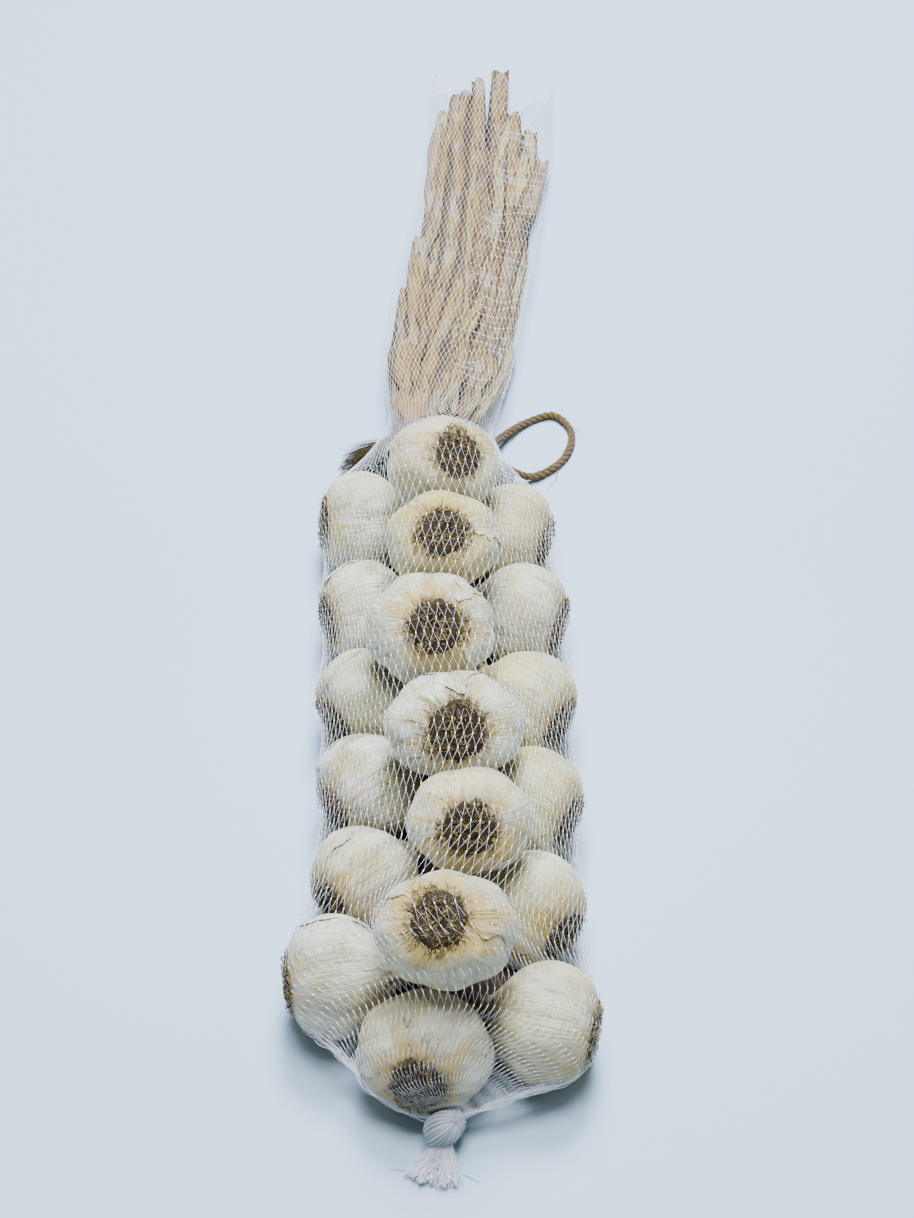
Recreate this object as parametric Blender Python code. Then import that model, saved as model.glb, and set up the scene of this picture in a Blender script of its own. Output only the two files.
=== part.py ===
"""A braid of whole garlic bulbs with its dried stalks, a twine hanging loop and the knotted foot of its net.

It lies on its back. +Y runs from the knotted foot to the cut stalk tips, +X is to the right of the shown side,
and +Z is up, the way the shown side faces. Everything is built in a construction frame whose origin is on the
floor below the twine tie, and is then moved until the origin is at the bottom middle of its own box.
"""

import math
from collections import namedtuple

import bmesh
import bpy
from mathutils import Matrix, Vector

MM = 0.001

# Driving dimensions, in metres.
ROW_PITCH = 0.0478  # from one row of three bulbs to the next
FIRST_ROW = 0.0510  # from the tie down to the middle of the row nearest the stalks
SIDE_REACH = 0.0325  # middle of a side bulb, out from the braid's centre plane
FRONT_HEIGHT = 0.0640  # middle of a front bulb, above the floor
FLAT_DEPTH = 0.0006  # how far a bulb's belly is pressed flat on the floor
BULB_GAP = 0.0004  # clearance between two bulbs that touch
TRUNK_HEIGHT = 0.0270  # where the bulbs' stems meet in the trunk, above the floor
TRUNK_BOW = 0.0050  # how far the trunk bows to the right half way down
PLAIT_STEP = 0.0240  # from one crossing of the plait to the next
TIE_HALF_WIDTH = 0.0185  # the bundle of stalks where the twine binds it
TIE_HALF_HEIGHT = 0.0120
TIE_HEIGHT = 0.0200  # the bound bundle's middle, above the floor
STALK_THICKNESS = 0.0055
TWINE = 0.0035  # twine thickness
GAP = 0.0003  # clearance between other pieces that touch

# One bulb's outline from the root tuft's crown to the neck, as (radius, height) in bulb diameters. The first two
# rings are the tuft of trimmed roots, which stays round while the cloves behind it bulge.
ROOT_CROWN = 0.394
BULB_OUTLINE = (
    (0.170, 0.384),
    (0.222, 0.350),
    (0.290, 0.332),
    (0.390, 0.278),
    (0.470, 0.155),
    (0.500, 0.010),
    (0.468, -0.140),
    (0.365, -0.280),
    (0.205, -0.390),
)
NECK_END = (0.115, -0.490)
BULB_SIDES = 14
STEM_SIDES = 6
LOBE_DEPTH = 0.030  # how far the grooves between cloves go in, as a share of the radius

# Where each bulb sits. row counts from the stalks. toe turns its roots towards the foot and lean turns a front
# bulb's roots to the right or a side bulb's up, both in degrees. diameter is in millimetres, and squash is its
# breadth along the braid as a share of that. slip towards the stalks, out from the centre plane (to the right on a
# front bulb) and rise are small shifts in millimetres. cloves sets the number of bulges.
Bulb = namedtuple("Bulb", "name row diameter squash toe lean slip out rise cloves")
BULBS = (
    Bulb("front", 1, 50, 0.86, 26, 20, -2, 3, -1, 7),
    Bulb("front", 2, 49, 0.87, 30, 0, 2, 3, 0, 6),
    Bulb("front", 3, 54, 0.88, 37, 7, 2, -2, 0, 8),
    Bulb("front", 4, 57, 0.80, 44, 3, -1, 8, 1, 7),
    Bulb("front", 5, 50, 0.86, 47, -2, 2, 14, 1, 6),
    Bulb("front", 6, 55, 0.85, 22, -8, -2, 5, 1, 8),
    Bulb("left", 1, 47, 0.97, 8, 8, 1, 0, 0, 6),
    Bulb("left", 2, 47, 0.95, 20, 6, -2, -2, 0, 7),
    Bulb("left", 3, 48, 0.95, 40, 0, -3, -4, 0, 6),
    Bulb("left", 4, 49, 0.95, 37, 0, -1, -6, 0, 7),
    Bulb("left", 5, 49, 0.95, 42, 4, 0, -5, 0, 8),
    Bulb("left", 6, 51, 0.97, 8, 0, 3, 3, 0, 7),
    Bulb("right", 1, 47, 0.96, 20, 0, -5, -1, 0, 7),
    Bulb("right", 2, 48, 0.95, 20, 0, -4, 4, 0, 6),
    Bulb("right", 3, 49, 0.93, 38, 0, -5, 5, 0, 8),
    Bulb("right", 4, 50, 0.95, 30, 0, -9, 6, 0, 7),
    Bulb("right", 5, 50, 0.95, 44, 0, -12, 5, 0, 6),
    Bulb("right", 6, 50, 0.97, 14, 0, -17, 7, 0, 7),
    Bulb("foot", 7, 53, 0.95, 74, -7, 22.5, -1, 0, 7),
)

# Half of the trunk's outline across the braid, from the bottom round to the top, as (half width, height) in
# millimetres: the flat plait lies along the back, and the bulbs' stems make the narrow ridge on it.
TRUNK_OUTLINE = ((4.0, 1.2), (11.0, 2.4), (12.6, 7.5), (8.0, 13.0), (6.2, 23.0), (5.2, 31.0), (2.6, 35.0))

# The stalks of the handle, in millimetres. across and up place each one in the bound bundle, shoulder, middle and
# tip are its places across the handle at those distances beyond the tie, and layer counts up from the floor.
SHOULDER = 50
MIDDLE = 130
Stalk = namedtuple("Stalk", "across up shoulder middle tip length layer width")
STALKS = (
    Stalk(-11, -5, -14, -6, 4, 248, 0.0, 14),
    Stalk(-3, -6, -2, 6, 14, 226, 0.0, 14),
    Stalk(5, -6, 10, 18, 26, 240, 0.0, 14),
    Stalk(10, -4, 21, 30, 38, 246, 0.1, 13),
    Stalk(13, 0, 26, 38, 46, 232, 0.4, 12),
    Stalk(-13, 0, -18, -17, -15, 112, 1.0, 13),
    Stalk(-9, 2, -13, -10, -9, 147, 1.3, 13),
    Stalk(-5, 1, -5, 4, 12, 257, 1.2, 12),
    Stalk(0, 3, 7, 16, 20, 268, 1.3, 11),
    Stalk(5, 2, 16, 26, 31, 274, 1.3, 13),
    Stalk(9, 3, 20, 35, 52, 204, 1.3, 11),
    Stalk(-10, 6, -3, 13, 16, 178, 2.3, 12),
    Stalk(-3, 7, 6, 20, 22, 190, 2.3, 12),
)

# The two turns of twine round the bundle, across them: (out from the bundle, along the braid) in twine thicknesses.
WRAP_PROFILE = ((0.0, -0.9), (0.8, -0.9), (0.95, -0.4), (0.95, 0.4), (0.8, 0.9), (0.0, 0.9))
WRAP_STEPS = 20
# The knot on the left of the wraps and the two frayed cut ends beyond it, in millimetres.
TIE_KNOT = (-23.0, 0.0, 19.5)
TIE_KNOT_RADIUS = 0.0042
TIE_ENDS = (
    ((-20.0, -1.0, 21.5), (-29.0, 1.2, 18.5), (-42.0, 1.6, 11.0)),
    ((-20.0, 1.0, 18.5), (-28.5, -1.4, 15.0), (-40.0, -3.4, 9.0)),
)
FRAYING = (1.0, 1.2, 1.3, 1.5, 1.8)  # the ends' widths from the knot out, in twine thicknesses

# The net's gathered end in millimetres, from under the foot bulb through the knot to the cut tuft. Each station is
# (out from the bulb's root side, half width, half height, middle height, shift to the right).
NET_STATIONS = (
    (-3.4, 2.8, 2.8, 4.4, 5.6),
    (-1.9, 5.2, 4.3, 5.6, 5.2),
    (0.7, 7.7, 6.9, 10.2, 4.9),
    (4.2, 8.4, 7.8, 12.2, 4.5),
    (7.7, 7.2, 6.6, 11.2, 3.9),
    (10.5, 3.8, 3.5, 7.8, 3.0),
    (13.2, 4.2, 2.8, 4.7, 1.9),
    (17.2, 6.8, 2.3, 2.9, -0.6),
    (20.8, 8.2, 1.7, 1.9, -1.8),
)
NET_SIDES = 12
NET_LEVEL = 0.020  # up to this height the foot bulb and the net's end face each other

# The hanging loop's route in millimetres: out of the tie's right side, over the floor and back into the tie.
LOOP_ROUTE = (
    (24.4, 3.0, 14.5),
    (29.0, 17.5, 5.5),
    (40.5, 30.5, 1.9),
    (54.0, 35.5, 1.9),
    (62.0, 24.0, 1.9),
    (57.5, 7.5, 1.9),
    (44.0, -4.0, 3.0),
    (32.5, -4.8, 9.0),
    (24.4, -1.5, 14.2),
)


def clear_scene():
    for item in list(bpy.data.objects):
        bpy.data.objects.remove(item, do_unlink=True)


def finish_material(name, color, roughness):
    material = bpy.data.materials.new(name)
    material.use_nodes = True
    shader = material.node_tree.nodes["Principled BSDF"]
    shader.inputs["Base Color"].default_value = (*color, 1.0)
    shader.inputs["Roughness"].default_value = roughness
    material.diffuse_color = (*color, 1.0)
    return material


def add_object(name, mesh_builder, material):
    """Turn a bmesh into an object, triangulated and facing out."""
    bmesh.ops.triangulate(mesh_builder, faces=mesh_builder.faces)
    bmesh.ops.recalc_face_normals(mesh_builder, faces=mesh_builder.faces)
    mesh = bpy.data.meshes.new(name)
    mesh_builder.to_mesh(mesh)
    mesh_builder.free()
    mesh.shade_smooth()
    mesh.set_sharp_from_angle(angle=math.radians(50))
    item = bpy.data.objects.new(name, mesh)
    item.data.materials.append(material)
    bpy.context.scene.collection.objects.link(item)
    return item


def skin_rings(mesh_builder, rings, first_hub=None, last_hub=None):
    """Skin a run of closed rings of points, with a fan to a hub point over each end."""
    loops = [[mesh_builder.verts.new(point) for point in ring] for ring in rings]
    for near, far in zip(loops, loops[1:]):
        for i, corner in enumerate(near):
            j = (i + 1) % len(near)
            mesh_builder.faces.new((corner, near[j], far[j], far[i]))
    ends = ((loops[0], first_hub, rings[0]), (loops[-1], last_hub, rings[-1]))
    for loop, hub, ring in ends:
        middle = hub if hub is not None else sum(ring, Vector()) / len(ring)
        point = mesh_builder.verts.new(middle)
        for i, corner in enumerate(loop):
            mesh_builder.faces.new((point, corner, loop[(i + 1) % len(loop)]))


def press_on_floor(mesh_builder):
    """Cut away what reaches below the floor and close the cut with a flat face."""
    everything = mesh_builder.verts[:] + mesh_builder.edges[:] + mesh_builder.faces[:]
    cut = bmesh.ops.bisect_plane(
        mesh_builder, geom=everything, plane_co=(0, 0, 0), plane_no=(0, 0, -1), clear_outer=True
    )
    edges = [item for item in cut["geom_cut"] if isinstance(item, bmesh.types.BMEdge)]
    if edges:
        bmesh.ops.edgeloop_fill(mesh_builder, edges=edges)


def bulb_axes(bulb):
    """The bulb's root direction, its wide direction and the direction in which it is squashed."""
    toe = math.radians(bulb.toe)
    lean = math.radians(bulb.lean)
    if bulb.name in ("front", "foot"):
        upright = math.cos(lean)
        roots = Vector((math.sin(lean), -math.sin(toe) * upright, math.cos(toe) * upright))
        wide = Vector((1, 0, 0))
    else:
        outward = -1 if bulb.name == "left" else 1
        level = math.cos(lean)
        roots = Vector((outward * math.cos(toe) * level, -math.sin(toe) * level, math.sin(lean)))
        wide = Vector((0, 0, 1))
    wide = (wide - roots * wide.dot(roots)).normalized()
    return roots, wide, roots.cross(wide)


def bulb_rings(bulb):
    """The bulb's rings of points about its own middle."""
    roots, wide, narrow = bulb_axes(bulb)
    diameter = bulb.diameter * MM
    rings = []
    for radius, height in BULB_OUTLINE + (NECK_END,):
        bulge = min(max((radius - 0.24) / 0.20, 0.0), 1.0)
        ring = []
        for i in range(BULB_SIDES):
            angle = math.tau * i / BULB_SIDES
            groove = LOBE_DEPTH * 0.5 * (1 - math.cos(bulb.cloves * angle + bulb.row))
            reach = radius * (1 - bulge * groove)
            squash = 1 - bulge * (1 - bulb.squash)
            side = wide * (reach * math.cos(angle)) + narrow * (reach * squash * math.sin(angle))
            ring.append((side + roots * height) * diameter)
        rings.append(ring)
    return rings


def bulb_middle(bulb):
    """Where the bulb would sit if its neighbours left it the room."""
    y = -FIRST_ROW - ROW_PITCH * (bulb.row - 1) + bulb.slip * MM
    if bulb.name == "front":
        return Vector((bulb.out * MM, y, FRONT_HEIGHT + bulb.rise * MM))
    if bulb.name == "foot":
        return Vector((bulb.out * MM, y, 0.5 * bulb.diameter * MM))
    outward = -1 if bulb.name == "left" else 1
    return Vector((outward * (SIDE_REACH + bulb.out * MM), y, 0.5 * bulb.diameter * MM))


def settle(bulbs):
    """Push neighbours apart until they just touch, and lower the side and foot bulbs on to the floor."""
    middles = [bulb_middle(bulb) for bulb in bulbs]
    bodies = [[point for ring in bulb_rings(bulb)[:-1] for point in ring] for bulb in bulbs]
    for bulb, body in zip(bulbs, bodies):
        body.append(bulb_axes(bulb)[0] * ROOT_CROWN * bulb.diameter * MM)
    depths = [-min(point.z for point in body) for body in bodies]
    pairs = [(i, j) for i in range(len(bulbs)) for j in range(i) if (middles[i] - middles[j]).length < 0.062]
    for _ in range(60):
        for i, j in pairs:
            away = middles[i] - middles[j]
            distance = away.length
            away.normalize()
            room = max(away.dot(point) for point in bodies[j]) + max(-away.dot(point) for point in bodies[i])
            shortfall = room + BULB_GAP - distance
            if shortfall > 0:
                middles[i] += away * shortfall * 0.3
                middles[j] -= away * shortfall * 0.3
        for i, bulb in enumerate(bulbs):
            if bulb.name != "front":
                middles[i].z = depths[i] - FLAT_DEPTH
    return middles


def bulb_name(bulb):
    return "bulb_foot" if bulb.name == "foot" else f"bulb_{bulb.name}_{bulb.row}"


def build_bulb(bulb, middle, material):
    rings = [[point + middle for point in ring] for ring in bulb_rings(bulb)]
    roots = bulb_axes(bulb)[0]
    builder = bmesh.new()
    skin_rings(builder, rings, first_hub=middle + roots * ROOT_CROWN * bulb.diameter * MM)
    press_on_floor(builder)
    return add_object(bulb_name(bulb), builder, material)


def smooth_route(points, steps):
    """Points along a smooth curve through the given points, by Catmull-Rom."""
    route = []
    for i in range(len(points) - 1):
        before = points[max(i - 1, 0)]
        after = points[min(i + 2, len(points) - 1)]
        start, end = points[i], points[i + 1]
        for step in range(steps):
            t = step / steps
            route.append(
                0.5
                * (
                    2 * start
                    + (end - before) * t
                    + (2 * before - 5 * start + 4 * end - after) * t * t
                    + (3 * start - before - 3 * end + after) * t * t * t
                )
            )
    route.append(points[-1].copy())
    return route


def ribbon(route, widths, heights, sides, level=None):
    """Rings of points of a flattened stem along a route, square to it at each point."""
    rings = []
    for i, point in enumerate(route):
        along = (route[min(i + 1, len(route) - 1)] - route[max(i - 1, 0)]).normalized()
        flat = (level or Vector((1, 0, 0))).copy()
        flat = (flat - along * flat.dot(along)).normalized()
        up = along.cross(flat)
        ring = []
        for k in range(sides):
            angle = math.tau * (k + 0.5) / sides
            across = flat * (0.5 * widths[i] * math.cos(angle))
            ring.append(point + across + up * (0.5 * heights[i] * math.sin(angle)))
        rings.append(ring)
    return rings


def trunk_middle(y):
    """Where the bulbs' stems meet in the trunk."""
    share = min(max(-y / (FIRST_ROW + 5.5 * ROW_PITCH), 0.0), 1.0)
    return Vector((TRUNK_BOW * 0.5 * (1 - math.cos(math.tau * share)), y, TRUNK_HEIGHT))


def trunk_ring(y, bind, spread=1.0):
    """One ring of the trunk. bind goes from 0 for the open plait to 1 for the oval that the twine binds."""
    outline = TRUNK_OUTLINE + tuple((-across, up) for across, up in reversed(TRUNK_OUTLINE))
    crossing = 1 + 0.08 * math.cos(math.pi * y / PLAIT_STEP)
    middle = trunk_middle(y).x * (1 - bind)
    ring = []
    for k, (across, up) in enumerate(outline):
        angle = math.tau * (k + 0.5) / len(outline) - math.pi / 2
        swell = crossing if up < 15 else 1.0
        plait = Vector((middle + across * swell * MM, y, up * MM))
        oval_x = TIE_HALF_WIDTH * spread * math.cos(angle)
        oval = Vector((middle + oval_x, y, TIE_HEIGHT + TIE_HALF_HEIGHT * spread * math.sin(angle)))
        ring.append(plait.lerp(oval, bind))
    return ring


def build_trunk():
    """The plait that the bulbs hang from, drawn in to an oval bundle under the twine tie."""
    foot_end = -FIRST_ROW - 4.95 * ROW_PITCH
    shoulder = -0.040
    count = 11
    rings = [trunk_ring(foot_end + (shoulder - foot_end) * i / (count - 1), 0.0) for i in range(count)]
    rings += [trunk_ring(y, bind) for y, bind in ((-0.030, 0.2), (-0.021, 0.65), (-0.012, 0.95))]
    rings += [trunk_ring(y, 1.0, spread) for y, spread in ((-0.0055, 1.0), (0.0055, 1.0), (0.014, 0.8))]
    builder = bmesh.new()
    skin_rings(builder, rings)
    return builder


def build_bulb_stem(bulb, middle):
    """The short stem from a bulb's neck into the trunk."""
    roots, wide, _ = bulb_axes(bulb)
    diameter = bulb.diameter * MM
    start = middle + roots * (NECK_END[1] * diameter - GAP)
    end = trunk_middle(min(start.y + 0.020, -0.030))
    gap = end - start
    route = [start, start + gap * 0.4 - roots * 0.0030, end]
    width = 2 * NECK_END[0] * diameter
    widths = [width * 0.96, width * 0.84, width * 0.64]
    rings = []
    for i, point in enumerate(route):
        along = -roots if i == 0 else (route[i] - route[i - 1]).normalized()
        flat = (wide - along * wide.dot(along)).normalized()
        up = along.cross(flat)
        half = 0.5 * widths[i]
        angles = [math.tau * k / STEM_SIDES for k in range(STEM_SIDES)]
        rings.append([point + flat * (half * math.cos(a)) + up * (half * math.sin(a)) for a in angles])
    builder = bmesh.new()
    skin_rings(builder, rings)
    return builder


def build_stalk(stalk):
    """One dried stalk of the handle, from the bound bundle to its cut tip."""
    layer_height = STALK_THICKNESS * (0.46 + 0.80 * stalk.layer)
    tie_height = TIE_HEIGHT + stalk.up * MM
    points = [
        Vector((stalk.across * 0.8 * MM, -0.004, tie_height)),
        Vector((stalk.across * MM, 0.012, tie_height)),
        Vector((stalk.shoulder * MM, SHOULDER * MM, layer_height + 0.0035)),
    ]
    if stalk.length > MIDDLE + 30:
        points.append(Vector((stalk.middle * MM, MIDDLE * MM, layer_height)))
    points.append(Vector((stalk.tip * MM, stalk.length * MM, layer_height)))
    route = smooth_route(points, 2)
    count = len(route)
    width = stalk.width * MM
    widths = [width * (0.72 if i < 3 else 1.0 + 0.08 * math.sin(2.1 * i + stalk.across)) for i in range(count)]
    widths[-1] = width * 0.80
    heights = [STALK_THICKNESS * (1.0 + 0.10 * math.cos(1.7 * i + stalk.tip)) for i in range(count)]
    builder = bmesh.new()
    skin_rings(builder, ribbon(route, widths, heights, STEM_SIDES))
    press_on_floor(builder)
    return builder


def join_limbs(body, limbs, name, material):
    """Unite closed limbs with a body, each by a modifier that keeps its hidden helper."""
    for i, limb in enumerate(limbs):
        helper = add_object(f"{name}_{i + 1}", limb, material)
        helper.hide_render = True
        helper.display_type = "WIRE"
        join = body.modifiers.new(f"join_{i + 1}", "BOOLEAN")
        join.operation = "UNION"
        join.solver = "EXACT"
        join.object = helper


def build_stalks(bulbs, middles, material):
    """The whole bundle as one body: the trunk, a stem to every bulb and the stalks of the handle."""
    bundle = add_object("stalks", build_trunk(), material)
    limbs = [build_bulb_stem(bulb, middle) for bulb, middle in zip(bulbs, middles)]
    limbs += [build_stalk(stalk) for stalk in STALKS]
    join_limbs(bundle, limbs, "stem", material)
    return bundle


def wrap_rings():
    """The wraps' outline at each step round the bundle."""
    rings = []
    for i in range(WRAP_STEPS):
        angle = math.tau * i / WRAP_STEPS
        across, up = math.cos(angle), math.sin(angle)
        rim = Vector((TIE_HALF_WIDTH * across, 0, TIE_HEIGHT + TIE_HALF_HEIGHT * up))
        normal = Vector((across / TIE_HALF_WIDTH, 0, up / TIE_HALF_HEIGHT)).normalized()
        inner = rim + normal * GAP
        rings.append([inner + normal * (out * TWINE) + Vector((0, along * TWINE, 0)) for out, along in WRAP_PROFILE])
    return rings


def build_tie(material):
    """Two turns of twine round the bundle, a knot on the left and the two frayed cut ends beyond it."""
    builder = bmesh.new()
    loops = [[builder.verts.new(point) for point in ring] for ring in wrap_rings()]
    for near, far in zip(loops, loops[1:] + loops[:1]):
        for k, corner in enumerate(near):
            m = (k + 1) % len(near)
            builder.faces.new((corner, near[m], far[m], far[k]))
    tie = add_object("twine_tie", builder, material)
    limbs = []
    widths = [share * TWINE for share in FRAYING]
    heights = [0.5 * (TWINE + width) for width in widths]
    for points in TIE_ENDS:
        route = smooth_route([Vector(point) * MM for point in points], 2)
        limb = bmesh.new()
        skin_rings(limb, ribbon(route, widths, heights, STEM_SIDES, Vector((0, 1, 0))))
        limbs.append(limb)
    knot = bmesh.new()
    place = Matrix.Translation(Vector(TIE_KNOT) * MM)
    bmesh.ops.create_icosphere(knot, subdivisions=2, radius=TIE_KNOT_RADIUS, matrix=place)
    limbs.append(knot)
    join_limbs(tie, limbs, "twine_end", material)
    return tie


def build_loop(material):
    """The free hanging loop of twine, both of whose ends run into the tie."""
    route = smooth_route([Vector(point) * MM for point in LOOP_ROUTE], 2)
    curve = bpy.data.curves.new("twine_loop", "CURVE")
    curve.dimensions = "3D"
    curve.bevel_depth = 0.5 * TWINE
    curve.bevel_resolution = 2
    curve.use_fill_caps = True
    spline = curve.splines.new("POLY")
    spline.points.add(len(route) - 1)
    for point, place in zip(spline.points, route):
        point.co = (*place, 1.0)
    curve.materials.append(material)
    loop = bpy.data.objects.new("twine_loop", curve)
    bpy.context.scene.collection.objects.link(loop)
    return loop


def build_net(foot_front, material):
    """The foot of the net: the gathered end, its knot and the cut tuft on the floor."""
    rings = []
    for station in NET_STATIONS:
        out, half_width, half_height, height, shift = (value * MM for value in station)
        ring = []
        for k in range(NET_SIDES):
            angle = math.tau * k / NET_SIDES
            x = shift + half_width * math.cos(angle)
            ring.append(Vector((x, foot_front - GAP - out, height + half_height * math.sin(angle))))
        rings.append(ring)
    builder = bmesh.new()
    skin_rings(builder, rings)
    press_on_floor(builder)
    return add_object("net", builder, material)


def centre_on_box(cords):
    """Move everything until the origin is at the bottom middle of the box round all but the cords."""
    bpy.context.view_layer.update()
    lowest = Vector((1e9,) * 3)
    highest = Vector((-1e9,) * 3)
    graph = bpy.context.evaluated_depsgraph_get()
    for item in bpy.data.objects:
        if item.hide_render or item in cords:
            continue
        for vertex in item.evaluated_get(graph).data.vertices:
            lowest = Vector(map(min, lowest, vertex.co))
            highest = Vector(map(max, highest, vertex.co))
    shift = Vector((-(lowest.x + highest.x) / 2, -(lowest.y + highest.y) / 2, -lowest.z))
    for item in bpy.data.objects:
        item.location = shift


def build():
    clear_scene()
    skin = finish_material("garlic_skin", (0.72, 0.70, 0.60), 0.55)
    straw = finish_material("dried_stalk", (0.60, 0.50, 0.35), 0.75)
    sisal = finish_material("twine", (0.36, 0.25, 0.12), 0.85)
    netting = finish_material("white_net", (0.80, 0.83, 0.85), 0.45)
    middles = settle(BULBS)
    for bulb, middle in zip(BULBS, middles):
        build_bulb(bulb, middle, skin)
    build_stalks(BULBS, middles, straw)
    build_tie(sisal)
    loop = build_loop(sisal)
    foot_points = [middles[-1] + point for ring in bulb_rings(BULBS[-1]) for point in ring]
    build_net(min(point.y for point in foot_points if point.z < NET_LEVEL), netting)
    centre_on_box([loop])


build()
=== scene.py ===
"""How a braid of garlic in its white net looks: skins, roots, stalks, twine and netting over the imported
solids.

The braid lies on its back. +Y runs from the knotted foot of the net to the cut stalk tips, +X is to the right
of the shown side and +Z is up. Places given in millimetres are measured from the floor right below the tie.
"""

import math

import bpy
import numpy as np
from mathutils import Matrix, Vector, geometry, noise
from mathutils.bvhtree import BVHTree


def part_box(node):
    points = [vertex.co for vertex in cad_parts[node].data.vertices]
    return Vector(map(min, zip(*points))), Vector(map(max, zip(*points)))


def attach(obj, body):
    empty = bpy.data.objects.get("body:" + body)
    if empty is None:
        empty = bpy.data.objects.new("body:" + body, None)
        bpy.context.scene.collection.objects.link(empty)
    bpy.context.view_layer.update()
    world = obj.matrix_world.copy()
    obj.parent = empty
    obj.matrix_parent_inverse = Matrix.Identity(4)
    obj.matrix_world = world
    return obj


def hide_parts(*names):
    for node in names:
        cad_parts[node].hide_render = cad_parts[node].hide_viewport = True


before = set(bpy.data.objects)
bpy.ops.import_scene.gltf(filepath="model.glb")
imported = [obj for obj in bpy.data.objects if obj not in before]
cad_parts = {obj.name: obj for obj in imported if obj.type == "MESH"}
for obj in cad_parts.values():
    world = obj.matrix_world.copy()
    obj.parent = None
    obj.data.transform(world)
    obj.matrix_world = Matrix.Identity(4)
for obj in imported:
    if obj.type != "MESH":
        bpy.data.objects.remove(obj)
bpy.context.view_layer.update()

MM = 0.001
TAU = math.tau
chance = np.random.default_rng(19)

TIE_REACH = 0.022125  # from the tie's middle to its right side
HANDLE_LENGTH = 0.2742  # from the tie to the longest stalk's tip
TIE = np.array((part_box("twine_tie")[1].x - TIE_REACH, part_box("stalks")[1].y - HANDLE_LENGTH, 0.0))
TWINE = 0.0035  # twine thickness
TIE_HALF_WIDTH = 0.0185  # the bundle of stalks where the twine binds it
TIE_HALF_HEIGHT = 0.0120
TIE_HEIGHT = 0.0200


def from_tie(places):
    """Places in millimetres from below the tie, as points of the frame in metres."""
    return np.array(places, float) * MM + TIE


# ---------------------------------------------------------------- shaping


def pick(*items):
    """Make these the only selected objects."""
    bpy.ops.object.select_all(action="DESELECT")
    for item in items:
        item.select_set(True)
    bpy.context.view_layer.objects.active = items[0]


def edit_all(item):
    """Open one object in edit mode with everything in it selected."""
    pick(item)
    bpy.ops.object.mode_set(mode="EDIT")
    bpy.ops.mesh.select_all(action="SELECT")


def leave_edit():
    bpy.ops.object.mode_set(mode="OBJECT")


def set_in_place(item):
    """Put the object's place, turn and size into its mesh."""
    pick(item)
    bpy.ops.object.transform_apply(location=True, rotation=True, scale=True)


def places_of(mesh):
    points = np.empty(len(mesh.vertices) * 3)
    mesh.vertices.foreach_get("co", points)
    return points.reshape(-1, 3)


def move_to(mesh, points):
    mesh.vertices.foreach_set("co", np.ascontiguousarray(points, float).ravel())
    mesh.update()


def keep_values(mesh, name, values):
    """Store one value or one vector for each vertex."""
    kind, field = ("FLOAT", "value") if values.ndim == 1 else ("FLOAT_VECTOR", "vector")
    stored = mesh.attributes.get(name) or mesh.attributes.new(name, kind, "POINT")
    stored.data.foreach_set(field, np.ascontiguousarray(values, np.float32).ravel())


def kept_values(mesh, name):
    stored = mesh.attributes[name]
    wide = stored.data_type == "FLOAT_VECTOR"
    values = np.empty(len(mesh.vertices) * (3 if wide else 1))
    stored.data.foreach_get("vector" if wide else "value", values)
    return values.reshape(-1, 3) if wide else values


def keep_grain(mesh, around, along, lot):
    """Store how far round and along its grain each vertex lies, with its piece's number, and its place on a
    circle round the piece."""
    around = np.asarray(around, float)
    keep_values(mesh, "grain", np.column_stack((around, along + 0 * around, lot + 0 * around)))
    keep_values(mesh, "round", np.column_stack((np.cos(TAU * around), np.sin(TAU * around), 0 * around)))


def copy_of(master, name):
    """A copy with its own mesh."""
    made = bpy.data.objects.new(name, master.data.copy())
    made.data.name = name
    bpy.context.scene.collection.objects.link(made)
    return made


def discard(item):
    bpy.data.objects.remove(item, do_unlink=True)


def face_out(item):
    edit_all(item)
    bpy.ops.mesh.normals_make_consistent(inside=False)
    leave_edit()
    item.data.shade_smooth()


def joined(name, items):
    pick(*items)
    bpy.ops.object.join()
    items[0].name = name
    items[0].data.name = name
    return items[0]


def finish_piece(item, material, slot, *nodes):
    """Give a piece its material, and let it ride in place of the solids it stands for. slot is not used."""
    item.data.materials.clear()
    item.data.materials.append(material)
    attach(item, "root")
    if nodes:
        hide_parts(*nodes)


def smooth_route(corners, steps):
    """Points along a smooth curve through the given corners, by Catmull-Rom."""
    corners = np.array(corners, float)
    last = len(corners) - 1
    share = np.arange(steps)[:, None] / steps
    route = []
    for i in range(last):
        before, start, end, after = corners[[max(i - 1, 0), i, i + 1, min(i + 2, last)]]
        route.append(
            0.5
            * (
                2 * start
                + (end - before) * share
                + (2 * before - 5 * start + 4 * end - after) * share**2
                + (3 * start - before - 3 * end + after) * share**3
            )
        )
    return np.vstack([*route, corners[-1:]])


def even_route(route, count):
    """The same line with its points evenly apart."""
    gone = np.concatenate(([0], np.cumsum(np.linalg.norm(np.diff(route, axis=0), axis=1))))
    wanted = np.linspace(0, gone[-1], count)
    return np.column_stack([np.interp(wanted, gone, route[:, k]) for k in range(3)])


def length_of(route):
    return float(np.linalg.norm(np.diff(route, axis=0), axis=1).sum())


def rough_at(points, scale, shift=(0, 0, 0)):
    """An uneven value from about -1 to 1 at each point. A larger scale makes it finer."""
    return np.array([noise.noise(Vector(point) * scale + Vector(shift)) for point in points])


def wave(share, count, seed):
    """A smooth wandering value from about -1 to 1 along a piece."""
    return np.array([noise.noise((s * count, seed * 3.7, 0.5)) for s in np.atleast_1d(share)]) * 2


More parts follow.
